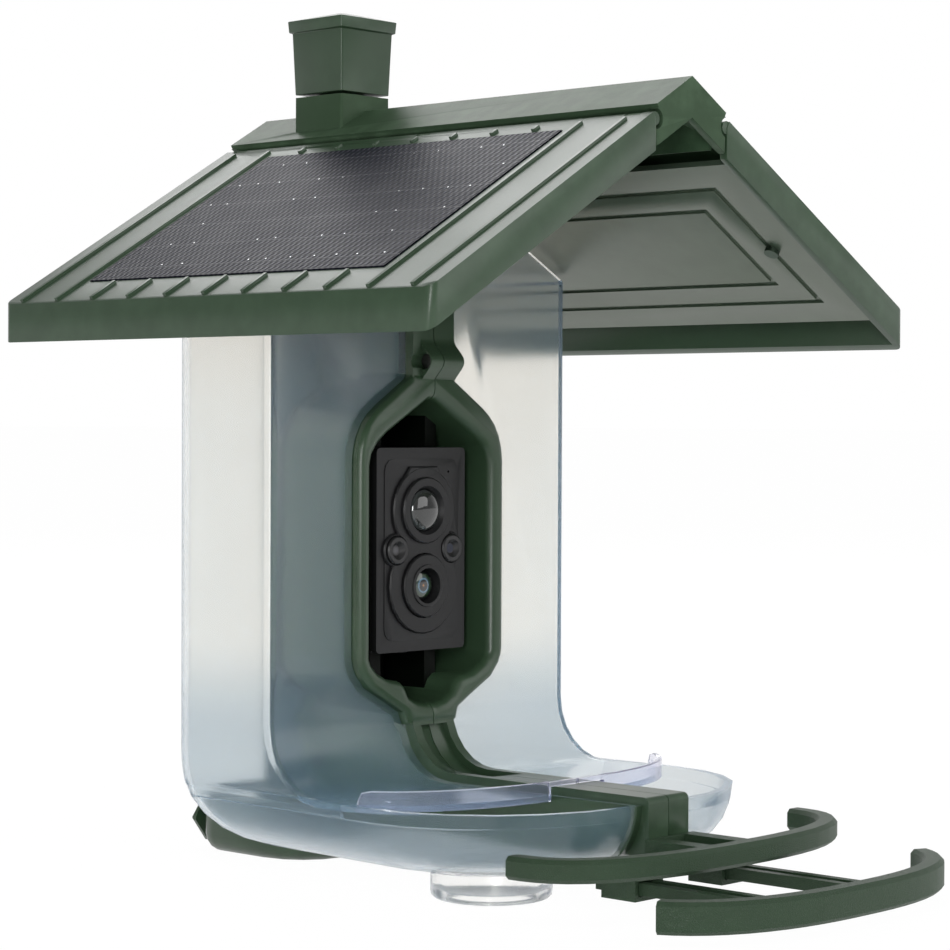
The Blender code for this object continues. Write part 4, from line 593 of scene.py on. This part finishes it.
@dataclass(frozen=True)
class Metal(Finish):
    """Brushed or turned metal."""

    colour: Colour
    roughness: float = 0.28
    roughness_swing: float = 0.12
    lines_per_metre: float = 1400.0
    line_shade: float = 0.82

    def build(self) -> bpy.types.Material:
        """Build the metal.

        Returns:
            The material.
        """
        material, graph, shader = self.start()
        lines = graph.noise(graph.place(), self.lines_per_metre)
        stops = [(0.3, shaded(self.colour, self.line_shade)), (0.7, self.colour)]
        graph.feed(graph.ramp(lines, stops), shader.inputs["Base Color"])
        swing = graph.math("MULTIPLY", lines, self.roughness_swing)
        graph.feed(graph.math("ADD", self.roughness - self.roughness_swing / 2, swing),
                   shader.inputs["Roughness"])
        shader.inputs["Metallic"].default_value = 1.0
        return material


GREEN = Moulded("green plastic", "green", (0.034, 0.067, 0.035), roughness=0.32, gloss=0.48,
                edge_wear=0.35)
PERCH_GREEN = Moulded("pebbled green plastic", "green", (0.036, 0.070, 0.037), roughness=0.46, gloss=0.3,
                      edge_wear=0.25, pebbles=1500.0)
RIDGE_GREEN = Moulded("ridge green plastic", "green", (0.042, 0.076, 0.042), roughness=0.40, gloss=0.15,
                      gloss_tint=(0.92, 1.0, 0.86), edge_wear=0.35)
COVER_GREEN = Moulded("smooth green plastic", "green", (0.046, 0.070, 0.047), roughness=0.33, gloss=1.0,
                      gloss_tint=(0.97, 1.0, 0.86), cloudiness=0.12, edge_wear=0.2)
# The camera bay's green, with painted shade that darkens it further in.
BAY_GREEN_PAINTED_SHADE = Moulded("camera bay green", "green", (0.036, 0.070, 0.037), roughness=0.50, gloss=0.12,
                    fade=(56.0 * MM, 64.0 * MM))
# The hoppers' plastic, with painted shade that darkens it towards the bottom.
FROSTED = Frosted("frosted plastic", "clear", (0.968, 0.943, 0.893), bend=1.34, haze=0.13,
                  haze_colour=(0.36, 0.68, 1.0), thick=(46.0 * MM, 82.0 * MM))
FOOT_CLEAR = Frosted("frosted foot plastic", "clear", (0.965, 0.955, 0.925), bend=1.34, haze=0.06,
                     haze_colour=(0.40, 0.60, 1.0))
INNER_CLEAR = Frosted("clear inner wall", "clear", (0.90, 0.91, 0.90), roughness=0.05, transmission=1.0,
                      haze=0.0, bend=1.12)
LIP_CLEAR = Frosted("clear lip plastic", "clear", (0.90, 0.90, 0.97), roughness=0.10, haze=0.09,
                    haze_colour=(0.50, 0.52, 1.0))
BLACK = Moulded("black plastic", "black", (0.012, 0.012, 0.013), roughness=0.42, grain_per_metre=3400.0,
                gloss=0.35)
RUBBER = Moulded("black rubber", "rubber", (0.022, 0.022, 0.022), roughness=0.72)
PAINTED_STEEL = Metal("green screw steel", "steel", (0.07, 0.10, 0.075), roughness=0.45)
DARK_STEEL = Metal("blackened screw steel", "steel", (0.10, 0.10, 0.10), roughness=0.42)
STEEL = Metal("screw steel", "steel", (0.58, 0.58, 0.60))
BRASS = Metal("insert brass", "brass", (0.60, 0.42, 0.17))
SOLAR = SolarLaminate("solar laminate", "solar")
SOLDER = Metal("bus solder", "solar", (0.85, 0.86, 0.88), roughness=0.2)
BOARD = Moulded("board green", "board", (0.012, 0.12, 0.05), roughness=0.35)
BATTERY = Moulded("battery film", "battery", (0.08, 0.13, 0.28), roughness=0.3)


def add_object(name: str, data: bpy.types.ID) -> bpy.types.Object:
    """Make an object at the origin and link it to the scene.

    Args:
        name: Its name.
        data: Its mesh, lamp or camera.

    Returns:
        The object.
    """
    made = bpy.data.objects.new(name, data)
    bpy.context.scene.collection.objects.link(made)
    return made


def piece_from(bm: bmesh.types.BMesh, name: str, finish: Finish) -> bpy.types.Object:
    """Turn an edited mesh into an object with one finish.

    Args:
        bm: The edited mesh, which is freed.
        name: The piece's name.
        finish: Its finish.

    Returns:
        The piece.
    """
    mesh = bpy.data.meshes.new(name)
    bm.to_mesh(mesh)
    bm.free()
    mesh.materials.append(finish.material())
    return add_object(name, mesh)


@dataclass(frozen=True)
class UprightCorners:
    """The outer corners that stand upright near the middle, and the radius that they get."""

    radius: float
    reach: float
    least_turn: float = math.radians(60)
    least_length: float = 3.0
    least_rise: float = 0.9
    segments: int = 6

    def belongs(self, edge: bmesh.types.BMEdge) -> bool:
        """Tell whether an edge is one of the corners.

        Args:
            edge: An edge of the mesh.

        Returns:
            True for a corner.
        """
        first, second = (vert.co for vert in edge.verts)
        run = second - first
        upright = abs(run.z) > self.least_rise * run.length
        long_enough = run.length > self.least_length * self.radius
        return (upright and long_enough and abs(first.x) < self.reach and edge.is_manifold
                and edge.is_convex and edge.calc_face_angle() > self.least_turn)

    def round(self, bm: bmesh.types.BMesh) -> None:
        """Round the corners.

        Args:
            bm: The mesh.
        """
        corners = [edge for edge in bm.edges if self.belongs(edge)]
        bmesh.ops.bevel(bm, geom=corners, offset=self.radius, segments=self.segments, profile=0.5,
                        affect="EDGES", clamp_overlap=False)
        LOG.info("%d upright corners rounded", len(corners))


@dataclass
class Skin:
    """A CAD node's own surface, merged, with eased edges and smooth shading."""

    node: str
    finish: Finish
    edge: float = 0.35 * MM
    segments: int = 2
    join_flat: bool = True
    flat_turn: float = math.radians(0.6)
    merge_reach: float = 0.004 * MM
    corners: UprightCorners | None = None

    def build(self) -> bpy.types.Object:
        """Copy, clean and dress the node.

        Returns:
            The piece that stands for the node.
        """
        source = frame["nodes"][self.node]
        bm = bmesh.new()
        bm.from_mesh(source.data)
        bmesh.ops.remove_doubles(bm, verts=bm.verts, dist=self.merge_reach)
        if self.join_flat:
            bmesh.ops.dissolve_limit(bm, angle_limit=self.flat_turn, verts=bm.verts, edges=bm.edges)
        if self.corners:
            self.corners.round(bm)
        piece = piece_from(bm, self.node + "_skin", self.finish)
        piece.data.shade_smooth()
        piece.data.set_sharp_from_angle(angle=SHARP_TURN)
        if self.edge > 0.0:
            ease_edges(piece, self.edge, self.segments)
        seat(piece, source["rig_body"])
        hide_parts(self.node)
        LOG.info("%s dressed as %s", self.node, self.finish.name)
        return piece


def ease_edges(piece: bpy.types.Object, width: float, segments: int) -> None:
    """Round a piece's sharp edges a little, as a mould leaves them.

    Args:
        piece: The piece.
        width: How far the rounding reaches.
        segments: Its steps.
    """
    ease = piece.modifiers.new("Eased edges", "BEVEL")
    ease.width = width
    ease.segments = segments
    ease.limit_method = "ANGLE"
    ease.angle_limit = SHARP_TURN
    ease.harden_normals = True


def seat(piece: bpy.types.Object, body: str) -> None:
    """Let a finished piece ride on its body.

    Args:
        piece: The finished piece, placed in its mesh.
        body: The CAD body that carries it.
    """
    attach(piece, body)


def plain(node: str, finish: Finish) -> None:
    """Give a CAD node that keeps its own shape its finish.

    Args:
        node: The node's name.
        finish: Its finish.
    """
    piece = frame["nodes"][node]
    piece.data.materials.clear()
    piece.data.materials.append(finish.material())
    LOG.info("%s finished as %s", node, finish.name)


def stud_tree() -> bpy.types.NodeTree:
    """Geometry Nodes that set small round studs on a loose grid, some of them left out.

    Returns:
        The tree, with named inputs for its counts, spans, stud size and material.
    """
    found = bpy.data.node_groups.get("Studs on a grid")
    if found:
        return found
    tree = bpy.data.node_groups.new("Studs on a grid", "GeometryNodeTree")
    for label, kind, default in (
            ("Span across", "NodeSocketFloat", 0.1), ("Span along", "NodeSocketFloat", 0.1),
            ("Count across", "NodeSocketInt", 3), ("Count along", "NodeSocketInt", 3),
            ("Stud radius", "NodeSocketFloat", 0.001), ("Stud height", "NodeSocketFloat", 0.001),
            ("Stud sides", "NodeSocketInt", 8), ("Scatter", "NodeSocketFloat", 0.0),
            ("Share kept", "NodeSocketFloat", 1.0), ("Material", "NodeSocketMaterial", None)):
        socket = tree.interface.new_socket(name=label, in_out="INPUT", socket_type=kind)
        if default is not None:
            socket.default_value = default
    tree.interface.new_socket(name="Geometry", in_out="OUTPUT", socket_type="NodeSocketGeometry")
    graph = Graph(tree)
    given = graph.add("NodeGroupInput").outputs
    out = graph.add("NodeGroupOutput")
    grid = graph.add("GeometryNodeMeshGrid", inputs={
        "Size X": given["Span across"], "Size Y": given["Span along"],
        "Vertices X": given["Count across"], "Vertices Y": given["Count along"]})
    shift = graph.add("FunctionNodeRandomValue", data_type="FLOAT_VECTOR", inputs={
        0: (-0.2, -1, 0), 1: (0.2, 1, 0), "Seed": SHIFT_SEED})
    kept = graph.add("FunctionNodeRandomValue", data_type="BOOLEAN", inputs={
        "Probability": given["Share kept"], "Seed": KEPT_SEED})
    scatter = graph.add("ShaderNodeVectorMath", operation="SCALE", inputs={
        0: shift.outputs[0], 3: given["Scatter"]})
    placed = graph.add("GeometryNodeSetPosition", inputs={
        "Geometry": grid.outputs["Mesh"], "Offset": scatter.outputs[0]})
    stud = graph.add("GeometryNodeMeshCylinder", inputs={
        "Vertices": given["Stud sides"], "Radius": given["Stud radius"], "Depth": given["Stud height"]})
    points = graph.add("GeometryNodeInstanceOnPoints", inputs={
        "Points": placed.outputs[0], "Selection": kept.outputs[3], "Instance": stud.outputs["Mesh"]})
    real = graph.add("GeometryNodeRealizeInstances", inputs={0: points.outputs[0]})
    dressed = graph.add("GeometryNodeSetMaterial", inputs={
        "Geometry": real.outputs[0], "Material": given["Material"]})
    graph.feed(dressed.outputs[0], out.inputs[0])
    return tree


@dataclass
class StudGrid:
    """Small studs laid out by Geometry Nodes, then frozen into a mesh and placed."""

    name: str
    finish: Finish
    span: tuple[float, float]
    counts: tuple[int, int]
    radius: float
    height: float
    place: Matrix
    sides: int = 6
    scatter: float = 0.0
    share: float = 1.0

    def build(self, body: str) -> bpy.types.Object:
        """Make the studs.

        Args:
            body: The body they ride on.

        Returns:
            The finished piece.
        """
        tree = stud_tree()
        values = {"Span across": self.span[0], "Span along": self.span[1], "Count across": self.counts[0],
                  "Count along": self.counts[1], "Stud radius": self.radius, "Stud height": self.height,
                  "Stud sides": self.sides, "Scatter": self.scatter, "Share kept": self.share,
                  "Material": self.finish.material()}
        holder = add_object(self.name + "_holder", bpy.data.meshes.new(self.name + "_holder"))
        modifier = holder.modifiers.new("Studs", "NODES")
        modifier.node_group = tree
        for item in tree.interface.items_tree:
            if item.in_out == "INPUT":
                modifier[item.identifier] = values[item.name]
        bpy.context.view_layer.update()
        mesh = bpy.data.meshes.new_from_object(holder.evaluated_get(bpy.context.evaluated_depsgraph_get()))
        bpy.data.objects.remove(holder)
        mesh.transform(self.place)
        mesh.name = self.name
        piece = add_object(self.name, mesh)
        seat(piece, body)
        LOG.info("%s: studs on a grid of %d by %d", self.name, *self.counts)
        return piece


@dataclass
class Roof:
    """The two hinged slopes with their laminates, the ridge cap and the chimney."""

    slope: float = ROOF_SLOPE
    panel_edge: float = 0.45 * MM
    cover_edge: float = 0.3 * MM
    cap_edge: float = 0.4 * MM
    chimney_edge: float = 0.25 * MM
    chimney_corner: float = 1.2 * MM
    chimney_to: float = 30.0 * MM
    bus_lines: int = 6
    bus_points: int = 13
    dots_across: float = 0.8
    dots_along: float = 0.9
    dot_share: float = 0.5
    dot_radius: float = 0.32 * MM
    dot_height: float = 0.12 * MM
    dot_lift: float = 0.85 * MM
    dot_scatter: float = 1.6 * MM
    skirt_reach: float = 14.9 * MM
    skirt_thickness: float = 0.9 * MM
    skirt_low: float = 241.5 * MM
    skirt_high: float = 252.2 * MM
    skirt_end_gap: float = 4.0 * MM

    def build(self) -> None:
        """Dress the roof."""
        for side in Side:
            Skin(f"{side.word}_roof_panel", GREEN, edge=self.panel_edge, join_flat=False).build()
            Skin(f"{side.word}_roof_cover", COVER_GREEN, edge=self.cover_edge).build()
            plain(f"{side.word}_solar_panel", SOLAR)
            self.solder_dots(side)
            self.ridge_skirt(side)
            plain(f"{side.word}_hinge_pin", STEEL)
            for end in ("front", "rear"):
                plain(f"{side.word}_cover_screw_{end}", PAINTED_STEEL)
        Skin("ridge_cap", RIDGE_GREEN, edge=self.cap_edge,
             corners=UprightCorners(self.chimney_corner, self.chimney_to)).build()
        Skin("chimney_top", GREEN, edge=self.chimney_edge).build()
        plain("antenna", RUBBER)

    def ridge_skirt(self, side: Side) -> None:
        """A thin skirt inside the ridge cap, which keeps light and rain out of the slit above the hinge.

        Args:
            side: Which slope.
        """
        low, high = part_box("ridge_cap")
        size = (self.skirt_thickness, high.y - low.y - 2 * self.skirt_end_gap,
                self.skirt_high - self.skirt_low)
        middle = (side.value * (self.skirt_reach - self.skirt_thickness / 2), (low.y + high.y) / 2,
                  (self.skirt_low + self.skirt_high) / 2)
        bm = bmesh.new()
        verts = bmesh.ops.create_cube(bm, size=1.0)["verts"]
        bmesh.ops.scale(bm, verts=verts, vec=size)
        bmesh.ops.translate(bm, verts=verts, vec=middle)
        skirt = piece_from(bm, f"{side.word}_ridge_skirt", GREEN)
        seat(skirt, frame["nodes"]["ridge_cap"]["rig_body"])

    def solder_dots(self, side: Side) -> None:
        """The bright solder points along the laminate's bus lines.

        Args:
            side: Which slope.
        """
        low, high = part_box(f"{side.word}_solar_panel")
        span = (math.hypot(high.x - low.x, high.z - low.z) * self.dots_across,
                (high.y - low.y) * self.dots_along)
        normal = Vector((side.value * math.sin(self.slope), 0.0, math.cos(self.slope)))
        top = (low + high) / 2 + normal * self.dot_lift
        turn = Matrix.Rotation(side.value * self.slope, 4, "Y")
        StudGrid(f"{side.word}_solder_dots", SOLDER, span, (self.bus_lines, self.bus_points),
                 self.dot_radius, self.dot_height, Matrix.Translation(top) @ turn,
                 scatter=self.dot_scatter, share=self.dot_share).build(f"{side.word}_roof")


@dataclass
class Housing:
    """The green centre housing with its seam screws, its camera bay darkened further in by painted shade, and
    the wings behind the hoppers.
    """

    edge: float = 0.5 * MM
    bay_front: float = 54.0 * MM
    bay_half: float = 31.5 * MM
    bay_low: float = 52.0 * MM
    bay_high: float = 166.0 * MM
    wing_reach: float = 27.0 * MM
    wing_thickness: float = 1.6 * MM
    wing_gap: float = 0.4 * MM
    wing_corner: float = 5.0 * MM
    wing_corner_steps: int = 6
    wing_low: float = 19.0 * MM
    wing_high: float = 218.0 * MM
    wing_edge: float = 0.5 * MM
    wing_edge_steps: int = 3

    def darken_bay(self, half: bpy.types.Object) -> None:
        """Give the faces inside the camera bay the finish with painted shade, which darkens them further in.

        Args:
            half: One half of the housing.
        """
        mesh = half.data
        mesh.materials.append(BAY_GREEN_PAINTED_SHADE.material())
        for face in mesh.polygons:
            corners = [mesh.vertices[index].co for index in face.vertices]
            if all(co.y > self.bay_front and abs(co.x) < self.bay_half and self.bay_low < co.z < self.bay_high
                   for co in corners):
                face.material_index = 1

    def wing_outline(self) -> list[tuple[float, float]]:
        """The wing's outline from the housing's middle, with its two outer corners round.

        Returns:
            Its points, each a distance from the middle and a height.
        """
        outline = [(0.0, self.wing_low)]
        middle = self.wing_reach - self.wing_corner
        lower, upper = self.wing_low + self.wing_corner, self.wing_high - self.wing_corner
        for height, start in ((lower, -90), (upper, 0)):
            for step in range(self.wing_corner_steps + 1):
                turn = math.radians(start + 90 * step / self.wing_corner_steps)
                outline.append((middle + self.wing_corner * math.cos(turn),
                                height + self.wing_corner * math.sin(turn)))
        outline.append((0.0, self.wing_high))
        return outline

    def rear_wing(self, side: Side) -> None:
        """A flat wing along the housing's back, behind the hopper's inner rear corner.

        Args:
            side: Which half.
        """
        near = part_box(f"{side.word}_hopper")[1].y + self.wing_gap
        bm = bmesh.new()
        front, back = ([bm.verts.new((side.value * x, y, z)) for x, z in self.wing_outline()]
                       for y in (near, near + self.wing_thickness))
        for index in range(len(front)):
            after = (index + 1) % len(front)
            bm.faces.new((front[index], front[after], back[after], back[index]))
        bm.faces.new(front)
        bm.faces.new(back)
        bmesh.ops.recalc_face_normals(bm, faces=bm.faces)
        wing = piece_from(bm, f"{side.word}_rear_wing", GREEN)
        ease_edges(wing, self.wing_edge, self.wing_edge_steps)
        seat(wing, frame["nodes"][f"{side.word}_housing"]["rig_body"])

    def build(self) -> None:
        """Dress the housing."""
        for side in Side:
            half = Skin(f"{side.word}_housing", GREEN, edge=self.edge).build()
            self.darken_bay(half)
            self.rear_wing(side)
        for name in ("neck", "upper_rear", "lower_rear"):
            plain(f"housing_screw_{name}", DARK_STEEL)


@dataclass
class Hoppers:
    """The frosted hoppers with their lips and feet."""

    edge: float = 0.5 * MM
    small_edge: float = 0.3 * MM
    inner_wall: float = 13.2 * MM
    recess_reach: float = 38.5 * MM
    recess_front: float = 60.0 * MM
    recess_low: float = 41.0 * MM
    seam_wall: float = 10.8 * MM
    bay_middle: Place = (0.0, 70.0 * MM, 105.0 * MM)
    bay_facing: float = 0.2

    def dress_inner_walls(self, hopper: bpy.types.Object) -> None:
        """Give the walls against the housing a clearer finish, and green where they touch its camera bay.

        Args:
            hopper: One hopper.
        """
        mesh = hopper.data
        mesh.materials.append(INNER_CLEAR.material())
        mesh.materials.append(GREEN.material())
        middle = Vector(self.bay_middle)
        for face in mesh.polygons:
            corners = [mesh.vertices[index].co for index in face.vertices]
            reach = max(abs(co.x) for co in corners)
            back = max(co.y for co in corners)
            low = min(co.z for co in corners)
            recess = reach < self.recess_reach and back > self.recess_front and low > self.recess_low
            touches = face.normal.dot((middle - face.center).normalized()) > self.bay_facing
            if recess and touches and reach > self.seam_wall:
                face.material_index = 2
            elif reach < self.inner_wall or recess:
                face.material_index = 1

    def build(self) -> None:
        """Dress both hoppers."""
        for side in Side:
            self.dress_inner_walls(Skin(f"{side.word}_hopper", FROSTED, edge=self.edge).build())
            Skin(f"{side.word}_seed_lip", LIP_CLEAR, edge=self.small_edge).build()
            Skin(f"{side.word}_foot", FOOT_CLEAR, edge=self.small_edge).build()


@dataclass
class RearBase:
    """The rear base, its insert, its screws and the sprung tab."""

    edge: float = 0.4 * MM
    tab_edge: float = 0.6 * MM
    tab_edge_steps: int = 3

    def build(self) -> None:
        """Dress the base."""
        Skin("rear_base", GREEN, edge=self.edge).build()
        Skin("rear_tab", GREEN, edge=self.tab_edge, segments=self.tab_edge_steps).build()
        plain("tab_pin", STEEL)
        plain("mount_insert", BRASS)
        for side in Side:
            plain(f"base_screw_{side.word}", STEEL)


@dataclass
class Perches:
    """Both curved perches."""

    edge: float = 0.6 * MM

    def build(self) -> None:
        """Dress the perches."""
        Skin("inner_perch", PERCH_GREEN, edge=self.edge).build()
        Skin("outer_perch", PERCH_GREEN, edge=self.edge).build()


DARK_GLASS = (0.006, 0.006, 0.008)
# The lens's rings: the orange centre, the blue ring and the green ring are painted reflections and glints;
# the dark stops are the glass.
LENS_RINGS_AND_PAINTED_GLINTS = ((0.00, (0.55, 0.24, 0.06)), (0.09, (0.10, 0.05, 0.02)), (0.16, DARK_GLASS),
              (0.34, DARK_GLASS), (0.42, (0.16, 0.30, 0.42)), (0.48, (0.03, 0.06, 0.08)),
              (0.62, (0.02, 0.05, 0.02)), (0.80, DARK_GLASS))
# The motion dome is painted lighter towards its rim: a painted reflection.
DOME_RINGS_WITH_PAINTED_RIM_LIGHT = ((0.0, (0.006, 0.007, 0.007)), (0.8, (0.016, 0.018, 0.017)), (1.0, (0.06, 0.07, 0.07)))
SENSOR_RINGS = ((0.0, (0.10, 0.10, 0.11)), (0.20, (0.07, 0.07, 0.075)), (0.30, (0.014, 0.014, 0.015)))
STATUS_RINGS = ((0.0, (0.002, 0.004, 0.012)), (0.26, (0.004, 0.010, 0.035)), (0.36, (0.014, 0.014, 0.015)))


@dataclass
class CameraModule:
    """The camera: faceplate, lenses, small sensors, case and what is in it."""

    lens_reach: float = 5.6 * MM
    dome_reach: float = 7.4 * MM
    dome_roughness: float = 0.03
    sensor_reach: float = 5.0 * MM
    sensor_roughness: float = 0.34
    sensor_edge: float = 0.12 * MM
    face_edge: float = 0.18 * MM
    barrel_edge: float = 0.15 * MM
    case_edge: float = 0.3 * MM

    def centre_of(self, node: str) -> tuple[float, float]:
        """The middle of a node on the camera's face.

        Args:
            node: The node's name.

        Returns:
            Its X and Z.
        """
        low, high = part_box(node)
        return ((low.x + high.x) / 2, (low.z + high.z) / 2)

    def build(self) -> None:
        """Dress the camera."""
        Skin("camera_faceplate", BLACK, edge=self.face_edge).build()
        Skin("camera_barrel", BLACK, edge=self.barrel_edge).build()
        Skin("camera_case", BLACK, edge=self.case_edge).build()
        lens = Ringed("camera glass", "lens", self.centre_of("camera_lens"), LENS_RINGS_AND_PAINTED_GLINTS, self.lens_reach)
        Skin("camera_lens", lens, edge=0.0).build()
        dome = Ringed("motion dome", "lens", self.centre_of("motion_lens"), DOME_RINGS_WITH_PAINTED_RIM_LIGHT, self.dome_reach,
                      roughness=self.dome_roughness)
        Skin("motion_lens", dome, edge=0.0).build()
        for node, rings in (("light_sensor", SENSOR_RINGS), ("status_light", STATUS_RINGS)):
            face = Ringed(node.replace("_", " ") + " face", "black", self.centre_of(node), rings,
                          self.sensor_reach, roughness=self.sensor_roughness, coat=0.0)
            Skin(node, face, edge=self.sensor_edge).build()
        for node, finish in (("camera_seal", RUBBER), ("power_button", RUBBER), ("main_board", BOARD),
                             ("battery", BATTERY)):
            plain(node, finish)


@dataclass(frozen=True)
class Lamp:
    """A soft rectangular lamp: where it hangs, what it points at, its width and height, and its power."""

    name: str
    place: Place
    aim: Place
    size: tuple[float, float]
    watts: float

    def hang(self) -> None:
        """Add the lamp to the scene."""
        data = bpy.data.lights.new(self.name, "AREA")
        data.shape = "RECTANGLE"
        data.size, data.size_y = self.size
        data.energy = self.watts
        lamp = add_object(self.name, data)
        lamp.location = self.place
        way = Vector(self.aim) - Vector(self.place)
        lamp.rotation_euler = way.to_track_quat("-Z", "Y").to_euler()


@dataclass
class Studio:
    """The floor, the soft lights, the white surroundings and the camera."""

    lamps: tuple[Lamp, ...] = (
        Lamp("key", (1.18, 1.42, 1.68), (0.0, 0.03, 0.23), (1.4, 1.4), 16.0),
        Lamp("fill", (0.9, -1.9, 1.0), (0.0, 0.0, 0.15), (1.6, 1.6), 13.0),
        Lamp("top", (-0.6, -0.5, 2.0), (0.0, 0.0, 0.15), (1.5, 1.5), 7.0),
        Lamp("front", (-1.75, -1.35, 0.45), (0.0, 0.0, 0.17), (0.28, 0.8), 16.0))
    eye: Place = (-0.6848, -0.6116, 0.1528)
    azimuth: float = math.radians(-46.885)
    down: float = math.radians(1.103)
    roll: float = math.radians(0.240)
    focal_pixels: float = 2725.0
    image_pixels: float = 950.0
    sensor: float = 36.0
    nearest: float = 0.05
    floor_half: float = 60.0
    floor_grey: Colour = (0.86, 0.86, 0.86)
    floor_roughness: float = 0.8
    floor_glow: float = 1.02
    floor_white: float = 0.96
    floor_through: float = 0.30
    backdrop_way: Place = (0.73, 0.683, 0.0)
    backdrop_range: tuple[float, float] = (0.1, 0.75)
    sky_range: tuple[float, float] = (0.15, 0.55)
    side_level: float = 0.34

    def build(self) -> None:
        """Set the stage."""
        self.floor()
        self.surroundings()
        for lamp in self.lamps:
            lamp.hang()
        self.camera()

    def floor(self) -> None:
        """The plain pale floor, shown white with a faint shadow."""
        material = bpy.data.materials.new("pale floor")
        material.use_nodes = True
        graph = Graph(material.node_tree)
        shader = material.node_tree.nodes["Principled BSDF"]
        shader.inputs["Base Color"].default_value = (*self.floor_grey, 1)
        shader.inputs["Roughness"].default_value = self.floor_roughness
        path = graph.add("ShaderNodeLightPath")
        through = graph.math("MULTIPLY", path.outputs["Is Transmission Ray"], self.floor_through)
        mirrored = graph.math("MAXIMUM", path.outputs["Is Glossy Ray"], through)
        seen = graph.math("MAXIMUM", path.outputs["Is Camera Ray"], mirrored)
        white = graph.add("ShaderNodeEmission", inputs={"Color": WHITE, "Strength": self.floor_glow})
        blend = graph.add("ShaderNodeMixShader", inputs={
            0: graph.math("MULTIPLY", seen, self.floor_white), 1: shader.outputs[0], 2: white.outputs[0]})
        graph.feed(blend.outputs[0], material.node_tree.nodes["Material Output"].inputs["Surface"])
        mesh = bpy.data.meshes.new("floor")
        half = self.floor_half
        mesh.from_pydata([(-half, -half, 0), (half, -half, 0), (half, half, 0), (-half, half, 0)],
                         [], [(0, 1, 2, 3)])
        mesh.materials.append(material)
        add_object("floor", mesh)

    def surroundings(self) -> None:
        """A soft world: white where it is seen or shows through the plastic, brightest behind the feeder."""
        world = bpy.data.worlds.new("studio")
        bpy.context.scene.world = world
        world.use_nodes = True
        graph = Graph(world.node_tree)
        background = world.node_tree.nodes["Background"]
        way = graph.add("ShaderNodeTexCoord").outputs["Generated"]
        behind = graph.add("ShaderNodeVectorMath", operation="DOT_PRODUCT", inputs={
            0: way, 1: self.backdrop_way})
        height = graph.add("ShaderNodeSeparateXYZ", inputs={0: way}).outputs["Z"]
        near = graph.step(behind.outputs["Value"], *self.backdrop_range, smooth=True)
        low = graph.step(height, *self.sky_range, smooth=True, falling=True)
        bright = graph.math("MULTIPLY", 1.0 - self.side_level, graph.math("MULTIPLY", near, low))
        shaped = graph.math("ADD", self.side_level, bright)
        path = graph.add("ShaderNodeLightPath")
        seen = graph.math("MAXIMUM", path.outputs["Is Camera Ray"], path.outputs["Is Transmission Ray"])
        unseen = graph.math("MULTIPLY", graph.math("SUBTRACT", 1.0, seen), shaped)
        graph.feed(graph.math("ADD", seen, unseen), background.inputs["Strength"])
        background.inputs["Color"].default_value = WHITE

    def camera(self) -> None:
        """The camera, at the photograph's place and angle."""
        data = bpy.data.cameras.new("camera")
        data.sensor_width = self.sensor
        data.lens = self.focal_pixels / self.image_pixels * self.sensor
        data.clip_start = self.nearest
        camera = add_object("camera", data)
        camera.location = self.eye
        level = Euler((math.pi / 2 - self.down, 0.0, self.azimuth), "XYZ").to_matrix()
        camera.rotation_euler = (level @ Matrix.Rotation(self.roll, 3, "Z")).to_euler()
        bpy.context.scene.camera = camera
        bpy.context.scene.view_settings.view_transform = "Standard"


def main() -> None:
    """Build every sub-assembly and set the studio."""
    logging.basicConfig(level=logging.INFO, format="%(name)s: %(message)s")
    for part in (Roof(), Housing(), Hoppers(), RearBase(), Perches(), CameraModule(), Studio()):
        part.build()
        LOG.info("%s done", type(part).__name__)


if __name__ == "__main__":
    main()
